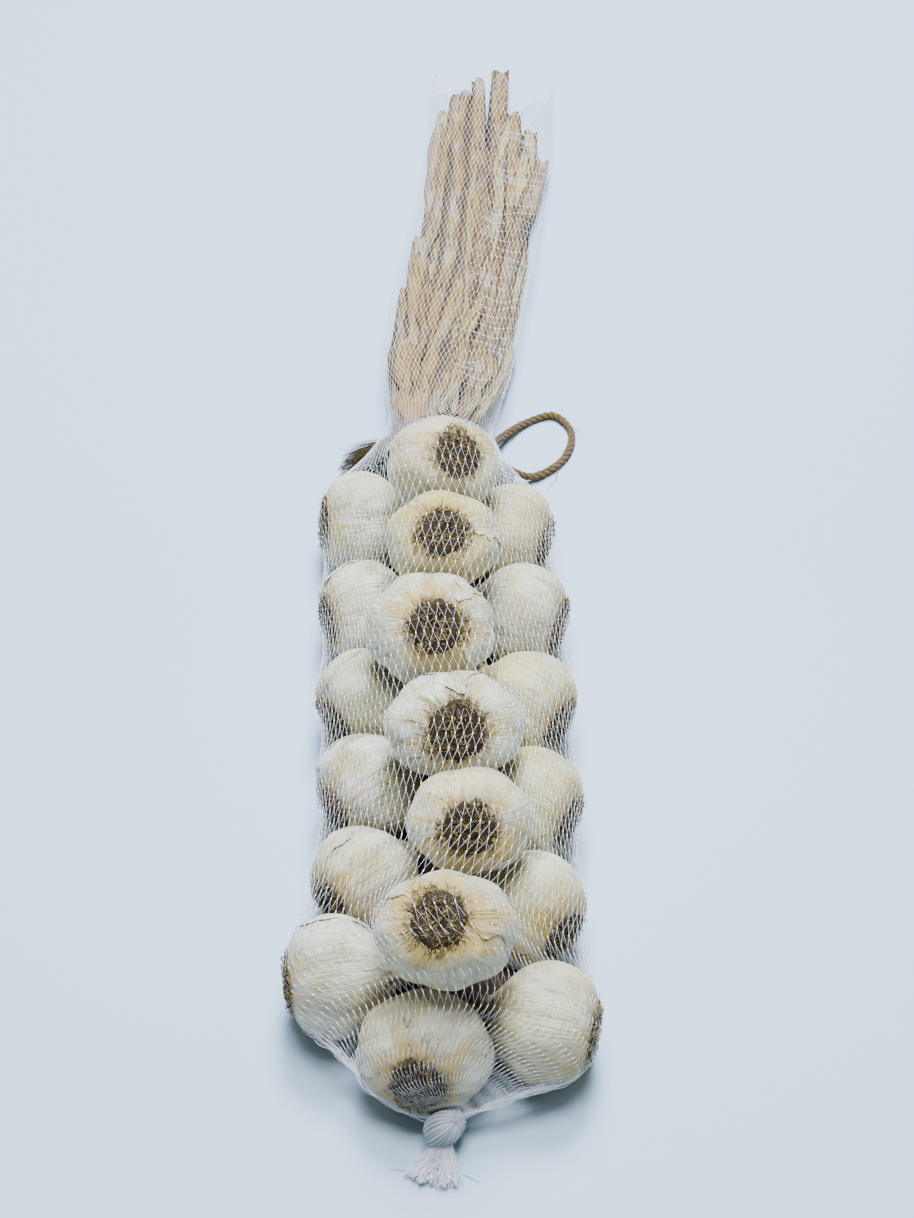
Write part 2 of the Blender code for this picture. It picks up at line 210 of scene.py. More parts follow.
def straight_tube(name, sides, steps):
    """A straight tube drawn up ring by ring from a circle, one metre long, with caps. Its grain runs 0 to 1
    round it and 0 to 1 along it."""
    bpy.ops.object.select_all(action="DESELECT")
    bpy.ops.mesh.primitive_circle_add(vertices=sides, radius=0.5, fill_type="NOTHING")
    tube = bpy.context.object
    tube.name = name
    edit_all(tube)
    for _ in range(steps):
        bpy.ops.mesh.extrude_region_move(TRANSFORM_OT_translate={"value": (0, 0, 1 / steps)})
    bpy.ops.mesh.select_all(action="SELECT")
    bpy.ops.mesh.fill_holes(sides=0)
    leave_edit()
    order = np.arange(sides * (steps + 1))
    keep_grain(tube.data, order % sides / sides, order // sides / steps, 0)
    return tube


def bend_along(master, name, route, width, height, level=(1, 0, 0), turn=0.0, relief=None):
    """A copy of a straight tube bent along a route. width and height are given along it, level is the way its
    width lies, turn is its twist in turns, and relief(around, along) pushes its wall in or out as a share."""
    tube = copy_of(master, name)
    grain = kept_values(tube.data, "grain")
    around, share = grain[:, 0], grain[:, 1]
    station = np.linspace(0, 1, len(route))
    along = np.gradient(route, axis=0)
    along /= np.linalg.norm(along, axis=1)[:, None]
    flat = np.empty_like(route)
    way = np.array(level, float)
    for i, direction in enumerate(along):
        way = way - direction * way.dot(direction)
        way /= np.linalg.norm(way)
        flat[i] = way
    up = np.cross(along, flat)

    def at(values):
        values = np.asarray(values, float)
        if values.ndim < 2:
            values = np.broadcast_to(values, len(route)) if values.ndim == 0 else values
            return np.interp(share, np.linspace(0, 1, len(values)), values)
        return np.column_stack([np.interp(share, station, values[:, k]) for k in range(3)])

    angle = TAU * around
    wall = 1.0 if relief is None else relief(around, share)
    across = 0.5 * at(width) * wall * np.cos(angle)
    rise = 0.5 * at(height) * wall * np.sin(angle)
    twist = TAU * turn * share
    turned = across * np.cos(twist) - rise * np.sin(twist)
    raised = across * np.sin(twist) + rise * np.cos(twist)
    move_to(tube.data, at(route) + at(flat) * turned[:, None] + at(up) * raised[:, None])
    face_out(tube)
    return tube


def strands(name, routes, thickness, taper=1.0, rounding=0):
    """Thin round strands along many routes, as one mesh. taper is their far end's thickness, as a share."""
    curve = bpy.data.curves.new(name, "CURVE")
    curve.dimensions = "3D"
    curve.bevel_depth = 0.5 * thickness
    curve.bevel_resolution = rounding
    curve.use_fill_caps = True
    for route in routes:
        spline = curve.splines.new("POLY")
        spline.points.add(len(route) - 1)
        spline.points.foreach_set("co", np.column_stack((route, np.ones(len(route)))).ravel())
        spline.points.foreach_set("radius", np.linspace(1.0, taper, len(route)))
    item = bpy.data.objects.new(name, curve)
    bpy.context.scene.collection.objects.link(item)
    pick(item)
    bpy.ops.object.convert(target="MESH")
    item = bpy.context.object
    item.data.name = name
    item.data.shade_smooth()
    return item


def repeated(name, master, middles, axes):
    """One mesh of many copies of a small master, each at its middle, with its own three axes as rows."""
    points = places_of(master.data)
    moved = np.einsum("vk,nkc->nvc", points, axes) + middles[:, None, :]
    corners = np.empty(len(master.data.loops), int)
    master.data.loops.foreach_get("vertex_index", corners)
    sizes = np.empty(len(master.data.polygons), int)
    master.data.polygons.foreach_get("loop_total", sizes)
    count = len(middles)
    mesh = bpy.data.meshes.new(name)
    mesh.vertices.add(count * len(points))
    mesh.vertices.foreach_set("co", moved.ravel())
    mesh.loops.add(count * len(corners))
    mesh.loops.foreach_set("vertex_index", (corners + np.arange(count)[:, None] * len(points)).ravel())
    mesh.polygons.add(count * len(sizes))
    ends = np.tile(sizes, count).cumsum()
    mesh.polygons.foreach_set("loop_start", ends - np.tile(sizes, count))
    mesh.update(calc_edges=True)
    mesh.validate()
    mesh.shade_smooth()
    item = bpy.data.objects.new(name, mesh)
    bpy.context.scene.collection.objects.link(item)
    return item


# ---------------------------------------------------------------- materials


def colour(red, green, blue):
    """A colour from its display values, 0 to 255."""
    parts = [part / 255 for part in (red, green, blue)]
    return (*[p / 12.92 if p <= 0.04045 else ((p + 0.055) / 1.055) ** 2.4 for p in parts], 1.0)


def add_node(tree, kind, sockets=None, **settings):
    """A shader node with its settings, and its sockets linked or set."""
    made = tree.nodes.new(kind)
    for name, value in settings.items():
        setattr(made, name, value)
    for name, value in (sockets or {}).items():
        if isinstance(value, bpy.types.NodeSocket):
            tree.links.new(value, made.inputs[name])
        else:
            made.inputs[name].default_value = value
    return made


def attribute(tree, name):
    return add_node(tree, "ShaderNodeAttribute", attribute_name=name, attribute_type="GEOMETRY")


def object_places(tree):
    return add_node(tree, "ShaderNodeTexCoord").outputs["Object"]


def stretched(tree, places, scale):
    return add_node(tree, "ShaderNodeMapping", {"Vector": places, "Scale": scale}).outputs["Vector"]


def parts_of(tree, name):
    """The three parts of a stored vector."""
    stored = attribute(tree, name).outputs["Vector"]
    return add_node(tree, "ShaderNodeSeparateXYZ", {"Vector": stored}).outputs


def speckle(tree, places, scale, detail=4.0, roughness=0.55, distortion=0.0):
    sockets = {"Vector": places, "Scale": scale, "Detail": detail, "Roughness": roughness}
    sockets["Distortion"] = distortion
    return add_node(tree, "ShaderNodeTexNoise", sockets).outputs["Fac"]


def sum_of(tree, operation, first, second=None, third=None):
    made = add_node(tree, "ShaderNodeMath", operation=operation)
    for socket, value in zip(made.inputs, (first, second, third)):
        if isinstance(value, bpy.types.NodeSocket):
            tree.links.new(value, socket)
        elif value is not None:
            socket.default_value = value
    return made.outputs[0]


def between(tree, value, low, high, start=0.0, end=1.0):
    """Ease a value from one range into another, held at both ends."""
    sockets = {"Value": value, "From Min": low, "From Max": high, "To Min": start, "To Max": end}
    return add_node(tree, "ShaderNodeMapRange", sockets, interpolation_type="SMOOTHSTEP").outputs["Result"]


def blend(tree, share, first, second):
    made = add_node(tree, "ShaderNodeMix", data_type="RGBA", blend_type="MIX", clamp_factor=True)
    for socket, value in ((made.inputs[0], share), (made.inputs[6], first), (made.inputs[7], second)):
        if isinstance(value, bpy.types.NodeSocket):
            tree.links.new(value, socket)
        else:
            socket.default_value = value
    return made.outputs[2]


def new_material(name, **settings):
    """A material with its Principled shader, and plain numbers set on the shader's own sockets."""
    material = bpy.data.materials.new(name)
    material.use_nodes = True
    shader = material.node_tree.nodes["Principled BSDF"]
    for socket, value in settings.items():
        shader.inputs[socket.replace("_", " ")].default_value = value
    return material, material.node_tree, shader


def finish_shader(tree, shader, base, roughness, height, depth, strength=1.0):
    tree.links.new(base, shader.inputs["Base Color"])
    if isinstance(roughness, bpy.types.NodeSocket):
        tree.links.new(roughness, shader.inputs["Roughness"])
    else:
        shader.inputs["Roughness"].default_value = roughness
    bump = add_node(tree, "ShaderNodeBump", {"Height": height, "Distance": depth, "Strength": strength})
    tree.links.new(bump.outputs["Normal"], shader.inputs["Normal"])


def fibre_group():
    """Shared effect: fine lengthwise fibres. Vector has the length along its second axis, and Stretch draws
    the fibres out along it. It puts out pale fibres, dark cracks between them and a height."""
    group = bpy.data.node_groups.new("lengthwise_fibres", "ShaderNodeTree")
    face = group.interface
    face.new_socket("Vector", in_out="INPUT", socket_type="NodeSocketVector")
    for name, value in (("Fineness", 60.0), ("Stretch", 0.05), ("Wander", 0.4)):
        face.new_socket(name, in_out="INPUT", socket_type="NodeSocketFloat").default_value = value
    for name in ("Fibres", "Cracks", "Height"):
        face.new_socket(name, in_out="OUTPUT", socket_type="NodeSocketFloat")
    start = group.nodes.new("NodeGroupInput")
    end = group.nodes.new("NodeGroupOutput")
    split = add_node(group, "ShaderNodeSeparateXYZ", {"Vector": start.outputs["Vector"]})
    drawn = sum_of(group, "MULTIPLY", split.outputs["Y"], start.outputs["Stretch"])
    sockets = {"X": split.outputs["X"], "Y": drawn, "Z": split.outputs["Z"]}
    lined = add_node(group, "ShaderNodeCombineXYZ", sockets).outputs[0]
    coarse = speckle(group, lined, start.outputs["Fineness"], 3.0, 0.6, start.outputs["Wander"])
    tripled = sum_of(group, "MULTIPLY", start.outputs["Fineness"], 3.1)
    fine = speckle(group, lined, tripled, 4.0, 0.7, start.outputs["Wander"])
    both = sum_of(group, "MULTIPLY_ADD", fine, 0.5, sum_of(group, "MULTIPLY", coarse, 0.5))
    group.links.new(between(group, both, 0.35, 0.68), end.inputs["Fibres"])
    group.links.new(between(group, coarse, 0.40, 0.30), end.inputs["Cracks"])
    group.links.new(both, end.inputs["Height"])
    return group


FIBRES = fibre_group()


def fibres_on(tree, places, fineness, stretch, wander=0.4):
    made = add_node(tree, "ShaderNodeGroup", node_tree=FIBRES)
    tree.links.new(places, made.inputs["Vector"])
    for name, value in (("Fineness", fineness), ("Stretch", stretch), ("Wander", wander)):
        made.inputs[name].default_value = value
    return made.outputs


def scaled(tree, factor, value):
    return sum_of(tree, "MULTIPLY", value, factor)


def tone_of(tree, value):
    """A steady random value from 0 to 1 for each whole piece."""
    return add_node(tree, "ShaderNodeTexWhiteNoise", {"W": value}, noise_dimensions="1D").outputs["Value"]


def round_and_along(tree, turns, length):
    """Places on a bent piece that close round it without a seam: across on a circle, lengthwise on the second
    axis."""
    grain = parts_of(tree, "grain")
    circle = parts_of(tree, "round")
    across = sum_of(tree, "MULTIPLY", circle["X"], turns)
    rise = sum_of(tree, "MULTIPLY", circle["Y"], turns)
    along = sum_of(tree, "MULTIPLY", grain["Y"], length)
    lot = sum_of(tree, "MULTIPLY_ADD", grain["Z"], 7.0, rise)
    return add_node(tree, "ShaderNodeCombineXYZ", {"X": across, "Y": along, "Z": lot}).outputs[0]


def skin_material():
    """Papery garlic skin. The bulb's own values are kept on it: how much it is stained, creamy and lilac. Its
    grain runs round it and down from the roots."""
    material, tree, shader = new_material("garlic_skin", Specular_IOR_Level=0.50, Sheen_Weight=0.10)
    grain = round_and_along(tree, 1.0, 1.0)
    down = parts_of(tree, "grain")["Y"]
    stain, cream, lilac = parts_of(tree, "bulb")
    places = object_places(tree)
    veins = fibres_on(tree, grain, 7.0, 0.20, 0.7)
    fine = fibres_on(tree, grain, 30.0, 0.12, 0.4)
    cloud = speckle(tree, places, 60.0, 6.0, 0.65)
    broad = speckle(tree, places, 26.0, 4.0, 0.6)
    blotch = speckle(tree, grain, 3.4, 5.0, 0.62)

    pale = blend(tree, cream, colour(252, 252, 238), colour(248, 236, 178))
    base = blend(tree, between(tree, cloud, 0.34, 0.64), colour(196, 184, 122), pale)
    warm = scaled(tree, between(tree, broad, 0.36, 0.60), between(tree, cream, 0.1, 1.0, 0.05, 0.90))
    base = blend(tree, warm, base, colour(226, 200, 112))
    grey = scaled(tree, 0.65, between(tree, blotch, 0.52, 0.66))
    base = blend(tree, grey, base, colour(160, 152, 106))
    tinted = scaled(tree, between(tree, speckle(tree, grain, 2.2, 3.0), 0.42, 0.60), lilac)
    base = blend(tree, scaled(tree, 0.8, tinted), base, colour(180, 158, 154))
    base = blend(tree, scaled(tree, 0.50, veins["Fibres"]), base, colour(192, 184, 144))
    # Patches of yellow staining that start at the roots, and a narrow golden brown fringe right round them.
    wander = sum_of(tree, "SUBTRACT", speckle(tree, grain, 2.6, 5.0, 0.68), 0.5)
    reach = sum_of(tree, "MULTIPLY_ADD", stain, 0.10, scaled(tree, 1.1, wander))
    edge = sum_of(tree, "SUBTRACT", down, reach)
    yellow = scaled(tree, between(tree, edge, 0.20, 0.10), between(tree, stain, 0.0, 0.8, 0.35, 0.85))
    base = blend(tree, yellow, base, colour(214, 180, 84))
    streaked = sum_of(tree, "MULTIPLY_ADD", sum_of(tree, "SUBTRACT", 0.5, fine["Height"]), 0.22, down)
    fringe = scaled(tree, between(tree, streaked, 0.172, 0.140), between(tree, stain, 0.0, 0.8, 0.45, 0.85))
    base = blend(tree, scaled(tree, 0.75, fringe), base, colour(184, 144, 64))
    base = blend(tree, scaled(tree, 0.60, fine["Cracks"]), base, colour(160, 148, 112))
    base = blend(tree, between(tree, down, 0.80, 0.97, 0.0, 0.6), base, colour(190, 165, 112))
    specks = between(tree, speckle(tree, places, 300.0, 2.0), 0.64, 0.72)
    base = blend(tree, scaled(tree, 0.8, scaled(tree, specks, blotch)), base, colour(120, 92, 56))
    # Fine dark wrinkles and splits that wander down the outer skin in a few places.
    drawn = stretched(tree, grain, (1.0, 0.30, 1.0))
    level = sum_of(tree, "ABSOLUTE", sum_of(tree, "SUBTRACT", speckle(tree, drawn, 3.1, 3.0, 0.6), 0.5))
    few = between(tree, speckle(tree, grain, 1.7, 1.0), 0.54, 0.62)
    split = scaled(tree, between(tree, level, 0.010, 0.003), few)
    base = blend(tree, scaled(tree, 0.6, split), base, colour(124, 108, 74))
    # Painted shade, with some dust and yellowing, where the bulbs are packed against each other.
    packed = scaled(tree, 0.70, between(tree, attribute(tree, "near").outputs["Fac"], 0.30, 0.95))
    base = blend(tree, packed, base, colour(132, 114, 66))
    rough = between(tree, cloud, 0.3, 0.7, 0.36, 0.58)
    relief = sum_of(tree, "MULTIPLY_ADD", fine["Height"], 0.5, veins["Height"])
    relief = sum_of(tree, "MULTIPLY_ADD", split, -0.8, sum_of(tree, "MULTIPLY_ADD", cloud, 0.5, relief))
    finish_shader(tree, shader, base, rough, relief, 0.0020, 0.90)
    return material


def straw_material():
    """Dried stalks. Each has its own tone, and aged gives how far a place has turned golden brown."""
    material, tree, shader = new_material("dried_stalk", Specular_IOR_Level=0.25)
    grain = round_and_along(tree, 1.0, 1.0)
    own = parts_of(tree, "grain")
    aged = attribute(tree, "aged").outputs["Fac"]
    places = object_places(tree)
    fibre = fibres_on(tree, grain, 6.0, 0.8, 0.5)
    thread = fibres_on(tree, grain, 26.0, 0.22, 0.3)
    cloud = speckle(tree, places, 55.0, 5.0, 0.62)
    patch = speckle(tree, grain, 3.2, 5.0, 0.65)
    tone = tone_of(tree, own["Z"])
    base = blend(tree, between(tree, tone, 0.15, 0.55), colour(240, 228, 150), colour(200, 164, 68))
    base = blend(tree, between(tree, tone, 0.55, 0.75, 0.0, 0.9), base, colour(190, 150, 84))
    base = blend(tree, between(tree, tone, 0.80, 0.84, 0.0, 0.9), base, colour(146, 122, 78))
    base = blend(tree, between(tree, cloud, 0.48, 0.64, 0.0, 0.60), base, colour(254, 248, 206))
    base = blend(tree, scaled(tree, 0.45, fibre["Fibres"]), base, colour(192, 146, 76))
    base = blend(tree, scaled(tree, 0.35, thread["Fibres"]), base, colour(166, 126, 70))
    base = blend(tree, scaled(tree, 0.95, fibre["Cracks"]), base, colour(84, 60, 36))
    # Brown sheaths, torn and fibrous, close to the tie.
    sheath = scaled(tree, between(tree, own["Y"], 0.26, 0.06), between(tree, cloud, 0.58, 0.44))
    base = blend(tree, scaled(tree, 0.8, sheath), base, colour(150, 104, 40))
    weathered = scaled(tree, 0.90, between(tree, patch, 0.52, 0.58))
    base = blend(tree, weathered, base, colour(98, 80, 60))
    # Painted shade along both edges of each flattened stalk, where it meets the next.
    rim = sum_of(tree, "ABSOLUTE", parts_of(tree, "round")["Y"])
    base = blend(tree, between(tree, rim, 0.85, 0.40, 0.0, 0.85), base, colour(128, 88, 38))
    streaks = between(tree, thread["Height"], 0.40, 0.60)
    golden = blend(tree, streaks, colour(150, 100, 42), colour(222, 178, 96))
    base = blend(tree, aged, base, golden)
    relief = sum_of(tree, "MULTIPLY_ADD", thread["Height"], 0.5, fibre["Height"])
    finish_shader(tree, shader, base, 0.62, relief, 0.0020, 1.0)
    return material


def shaded_core_material():
    """Painted shade: the dark inside of the bundle, and the dark sheets between the bulbs."""
    material, tree, shader = new_material("bundle_core", Specular_IOR_Level=0.15)
    fibre = fibres_on(tree, object_places(tree), 260.0, 0.08, 0.5)
    base = blend(tree, fibre["Fibres"], colour(62, 52, 42), colour(108, 90, 68))
    finish_shader(tree, shader, base, 0.8, fibre["Height"], 0.0010, 0.8)
    return material


def root_material(name, dark, pale):
    """Dry root fibres, each with its own tone. lot numbers them."""
    material, tree, shader = new_material(name, Specular_IOR_Level=0.2)
    places = object_places(tree)
    clump = speckle(tree, places, 300.0, 3.0, 0.7)
    own = tone_of(tree, attribute(tree, "lot").outputs["Fac"])
    tone = sum_of(tree, "MULTIPLY_ADD", own, 0.7, scaled(tree, 0.6, clump))
    base = blend(tree, between(tree, tone, 0.42, 0.90), dark, pale)
    finish_shader(tree, shader, base, 0.8, speckle(tree, places, 1500.0, 2.0), 0.0003, 0.6)
    return material


def twine_material():
    """Twisted sisal. fold is how deep a place lies between two plies, from 0 to 1, and it is painted darker
    there, as shade.
    """
    material, tree, shader = new_material("twine", Specular_IOR_Level=0.2, Sheen_Weight=0.2)
    fibre = fibres_on(tree, round_and_along(tree, 1.0, 9.0), 14.0, 0.5, 0.3)
    places = object_places(tree)
    base = blend(tree, fibre["Fibres"], colour(58, 40, 8), colour(166, 128, 36))
    base = blend(tree, scaled(tree, 0.7, fibre["Cracks"]), base, colour(78, 52, 24))
    grimy = between(tree, speckle(tree, places, 150.0), 0.52, 0.68, 0.0, 0.65)
    base = blend(tree, grimy, base, colour(92, 64, 32))
    # Painted shade in the hollows between the plies and among the fibres.
    deep = scaled(tree, 0.92, attribute(tree, "fold").outputs["Fac"])
    base = blend(tree, deep, base, colour(22, 14, 5))
    finish_shader(tree, shader, base, 0.75, fibre["Height"], 0.0008, 1.0)
    return material


def net_material():
    """White netting. fold is how deep a place lies between threads of the gathered end, from 0 to 1, and it
    is painted darker there, as shade.
    """
    material, tree, shader = new_material("white_net", Specular_IOR_Level=0.5)
    places = object_places(tree)
    soft = speckle(tree, places, 150.0, 2.0)
    base = blend(tree, between(tree, soft, 0.35, 0.65), colour(236, 240, 243), colour(250, 251, 252))
    base = blend(tree, attribute(tree, "fold").outputs["Fac"], base, colour(112, 122, 126))
    rough = between(tree, soft, 0.35, 0.65, 0.30, 0.45)
    finish_shader(tree, shader, base, rough, speckle(tree, places, 1800.0, 2.0), 0.0001, 0.5)
    return material


SKIN = skin_material()
STRAW = straw_material()
SHADED_CORE = shaded_core_material()
ROOT_BED = root_material("root_bed", colour(28, 22, 11), colour(62, 50, 28))
ROOT = root_material("root_fibre", colour(38, 30, 17), colour(160, 136, 84))
ROOT_RIM = root_material("dry_root_fibre", colour(96, 78, 50), colour(206, 184, 134))
SISAL = twine_material()
NETTING = net_material()

# ---------------------------------------------------------------- camera


def place_camera():
    data = bpy.data.cameras.new("camera")
    data.lens = 82.76
    data.sensor_width = 36.0
    camera = bpy.data.objects.new("camera", data)
    bpy.context.scene.collection.objects.link(camera)
    camera.location = from_tie((9.0, -870.06, 941.27))
    aim = Vector(from_tie((9.0, -118.0, 45.0))) - camera.location
    camera.rotation_euler = aim.to_track_quat("-Z", "Y").to_euler()
    bpy.context.scene.camera = camera


place_camera()

# ---------------------------------------------------------------- twine

# The hanging loop's route: out of the tie's right side, over the floor and back into the tie.
LOOP_ROUTE = (
    (24.4, 3.0, 14.5),
    (29.0, 17.5, 5.5),
    (40.5, 30.5, 1.9),
    (54.0, 35.5, 1.9),
    (62.0, 24.0, 1.9),
    (57.5, 7.5, 1.9),
    (44.0, -4.0, 3.0),
    (32.5, -4.8, 9.0),
    (24.4, -1.5, 14.2),
)
ROPE = straight_tube("rope_master", 18, 150)


def three_ply(around, along):
    """Twine laid from three plies: a hollow runs between each two of them."""
    return 0.74 + 0.26 * np.abs(np.cos(1.5 * TAU * around)) ** 0.7


def twine_along(name, route, lay=0.0095, level=(0, 0, 1)):
    """A length of twine. lay is the length in which its plies go once round it."""
    share = np.linspace(0, 1, 40)
    width = TWINE * (1.04 + 0.08 * wave(share, 9, len(name)))
    twine = bend_along(ROPE, name, route, width, width, level, length_of(route) / lay, three_ply)
    around = kept_values(twine.data, "grain")[:, 0]
    keep_values(twine.data, "fold", 1 - np.abs(np.cos(1.5 * TAU * around)) ** 0.45)
    return twine


def build_loop():
    route = even_route(smooth_route(from_tie(LOOP_ROUTE), 8), 90)
    loop = twine_along("hanging_loop", route)
    finish_piece(loop, SISAL, "twine", "twine_loop")
    return route


loop_route = build_loop()


def side_of(way):
    """A random direction square to a given one."""
    side = chance.normal(0, 1, 3)
    side -= way * side.dot(way)
    return side / np.linalg.norm(side)


def frayed_fibres():
    """The cut ends of the tie's twine, untwisted into one thick brush of fibres to the left."""
    corners = from_tie(((-16, -1.6, 21), (-24, -0.8, 18), (-33.5, -0.4, 13.4), (-41.5, -0.8, 9.6)))
    spine = even_route(smooth_route(corners, 8), 9)
    share = np.linspace(0, 1, len(spine))
    opening = np.interp(share, (0, 0.25, 1), (0.70, 1.15, 1.70)) * 4.0 * MM
    way = spine[-1] - spine[0]
    way /= np.linalg.norm(way)
    hairs = []
    for _ in range(440):
        across = np.array((0.18, 1.0, 0.0)) * chance.normal(0, 0.50)
        across += np.array((0.35, 0.0, 0.94)) * chance.normal(0, 0.38)
        sway = side_of(way) * 0.35 * MM
        swing = np.sin(share * chance.uniform(2, 7) + chance.uniform(0, TAU))
        hair = spine + across * opening[:, None] + sway * swing[:, None]
        hairs.append(hair[0] + (hair - hair[0]) * chance.uniform(0.72, 1.12))
    return hairs


def loose_hairs(routes, count, longest):
    """Short fibres that stand off the twine along its length."""
    hairs = []
    for route in routes:
        for i in chance.integers(2, len(route) - 2, count):
            way = route[i + 1] - route[i - 1]
            way /= np.linalg.norm(way)
            side = side_of(way)
            root = route[i] + side * 0.42 * TWINE
            length = longest * chance.uniform(0.15, 1.0) ** 1.6
            lean = way * chance.choice((-1, 1)) * chance.uniform(0.8, 2.4)
            step = (side + lean) / np.linalg.norm(side + lean) * length
            hairs.append(np.array((root, root + 0.5 * step + side * 0.12 * length, root + step)))
    return hairs


def build_tie():
    """Two turns of twine round the bundle, the knot at its left and the brush of its two frayed ends."""
    reach = 0.5 * TWINE + 0.0003
    angle = np.linspace(math.pi, 5 * math.pi, 120)
    outward = np.column_stack((np.cos(angle) / TIE_HALF_WIDTH, 0 * angle, np.sin(angle) / TIE_HALF_HEIGHT))
    outward /= np.linalg.norm(outward, axis=1)[:, None]
    rim = np.column_stack((TIE_HALF_WIDTH * np.cos(angle), 0 * angle, TIE_HALF_HEIGHT * np.sin(angle)))
    turns = rim + outward * reach + TIE + (0, 0, TIE_HEIGHT)
    turns[:, 1] += np.linspace(-1.55, 1.55, 120) * MM
    lap = np.linspace(0, TAU, 90)
    knot = np.column_stack(
        (np.sin(lap) + 2 * np.sin(2 * lap), np.cos(lap) - 2 * np.cos(2 * lap), -1.2 * np.sin(3 * lap))
    )
    knot = knot * MM + from_tie((-22.6, 0, 19.5))
    wound = twine_along("tie_turns", turns, level=(0, 1, 0))
    knotted = twine_along("tie_knot", knot, level=(0.3, 0.2, 1))
    finish_piece(joined("tie_wraps", [wound, knotted]), SISAL, "twine", "twine_tie")

    brush = frayed_fibres()
    hairs = brush + loose_hairs((loop_route, turns), 70, 4.5 * MM)
    hairs += loose_hairs((loop_route,), 7, 16 * MM)
    for hair in hairs:
        hair[:, 2] = np.maximum(hair[:, 2], 0.0002)
    fuzz = strands("twine_fuzz", hairs, 0.00030, 0.5)
    finish_piece(fuzz, SISAL, "twine")
    shade = rough_at(places_of(fuzz.data), 900)
    keep_grain(fuzz.data, shade, 0.4, 5 * shade)
    # The brush's fibres come first in the mesh, and lie in deeper shade, painted darker than the loose hairs.
    brush_share = len(brush) * len(brush[0]) / sum(len(hair) for hair in hairs)
    in_brush = np.arange(len(shade)) < brush_share * len(shade)
    deep, shallow = np.clip(0.50 + 1.8 * shade, 0, 1), np.clip(2 * shade, 0, 0.7)
    keep_values(fuzz.data, "fold", np.where(in_brush, deep, shallow))


build_tie()

# ---------------------------------------------------------------- bulbs

# One bulb's outline from under the roots to the neck, as (radius, height) in bulb diameters.
BULB_OUTLINE = (
    (0.004, 0.346),
    (0.120, 0.350),
    (0.190, 0.354),
    (0.232, 0.348),
    (0.290, 0.330),
    (0.390, 0.276),
    (0.470, 0.155),
    (0.500, 0.010),
    (0.468, -0.140),
    (0.365, -0.280),
    (0.205, -0.390),
    (0.125, -0.455),
    (0.112, -0.490),
    (0.004, -0.492),
)
# In bulb diameters: from a bulb's middle to its roots' crown and its neck's end, the crown's own radius and
# drop, and how deep the hollows between cloves are.
ROOT_CROWN = 0.394
NECK = 0.490
CROWN_RADIUS = 0.170
CROWN_DROP = 0.010
LOBE_DEPTH = 0.040
SKIN_SIDES = 112
SKIN_RINGS = 60

# Each bulb's number of cloves, and how much it is stained round the roots, creamy and lilac, from 0 to 1.
BULB_FINISH = {
    "bulb_front_1": (7, 0.35, 0.45, 0.0),
    "bulb_front_2": (6, 0.60, 0.95, 0.0),
    "bulb_front_3": (8, 0.85, 0.25, 0.1),
    "bulb_front_4": (7, 0.35, 0.08, 0.1),
    "bulb_front_5": (6, 0.55, 0.65, 0.5),
    "bulb_front_6": (8, 0.95, 0.55, 0.3),
    "bulb_left_1": (6, 0.60, 0.35, 0.0),
    "bulb_left_2": (7, 0.70, 0.30, 0.0),
    "bulb_left_3": (6, 0.60, 0.25, 0.2),
    "bulb_left_4": (7, 0.75, 0.15, 0.2),
    "bulb_left_5": (8, 0.80, 0.45, 0.9),
    "bulb_left_6": (7, 0.50, 0.25, 0.4),
    "bulb_right_1": (7, 0.60, 0.75, 0.0),
    "bulb_right_2": (6, 0.50, 0.30, 0.5),
    "bulb_right_3": (8, 0.70, 0.70, 0.0),
    "bulb_right_4": (7, 0.85, 0.80, 0.0),
    "bulb_right_5": (6, 0.90, 0.50, 0.1),
    "bulb_right_6": (7, 0.95, 0.65, 0.3),
    # The foot bulb's heavy stain round its roots is partly painted shade on its lower side.
    "bulb_foot": (7, 0.90, 0.35, 0.3),
}
# How much painted shade and dust a bulb gets where it is packed against others, where that is not 1.
SHADE_AND_DUST = {"bulb_front_4": 0.5, "bulb_foot": 0.3, "bulb_right_6": 1.3}


class Bulb:
    """Where one packed bulb is: its middle, size, squash and its wide, narrow and root directions."""

    def __init__(self, name):
        merged = copy_of(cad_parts[name], "measured")
        edit_all(merged)
        bpy.ops.mesh.remove_doubles(threshold=1e-6)
        leave_edit()
        points = places_of(merged.data)
        pairs = np.empty(len(merged.data.edges) * 2, int)
        merged.data.edges.foreach_get("vertices", pairs)
        pairs = pairs.reshape(-1, 2)
        spokes = np.linalg.norm(points[pairs[:, 0]] - points[pairs[:, 1]], axis=1)
        discard(merged)
        # The roots' crown is a low cone: a hub with many spokes of one length, to a ring square to the axis.
        count = np.bincount(pairs.ravel(), minlength=len(points))
        hubs = []
        for i in np.where(count >= 12)[0]:
            own = spokes[(pairs == i).any(axis=1)]
            hubs.append((own.std() / own.mean(), i))
        hub = min(hubs)[1]
        spoke = (pairs == hub).any(axis=1)
        rim = points[np.setdiff1d(pairs[spoke].ravel(), [hub])]
        _, _, ways = np.linalg.svd(rim - rim.mean(axis=0))
        self.name = name
        self.diameter = spokes[spoke].mean() / math.hypot(CROWN_RADIUS, CROWN_DROP)
        self.roots = ways[2] * np.sign(ways[2].dot(points[hub] - rim.mean(axis=0)))
        self.middle = points[hub] - self.roots * ROOT_CROWN * self.diameter
        wide = np.array((0, 0, 1.0) if "left" in name or "right" in name else (1.0, 0, 0))
        wide -= self.roots * wide.dot(self.roots)
        self.wide = wide / np.linalg.norm(wide)
        self.narrow = np.cross(self.roots, self.wide)
        self.axes = np.array((self.wide, self.narrow, self.roots))
        local = (points - self.middle) @ self.axes.T
        self.squash = min(np.abs(local[:, 1]).max() / np.abs(local[:, 0]).max(), 1.0)
        self.row = 7 if name == "bulb_foot" else int(name[-1])
        self.cloves, *self.finish = BULB_FINISH[name]

    def place(self, local):
        """Points given in bulb diameters, along wide, narrow and roots, as points of the frame."""
        return self.middle + (local * self.diameter) @ self.axes


bulbs = [Bulb(name) for name in BULB_FINISH]


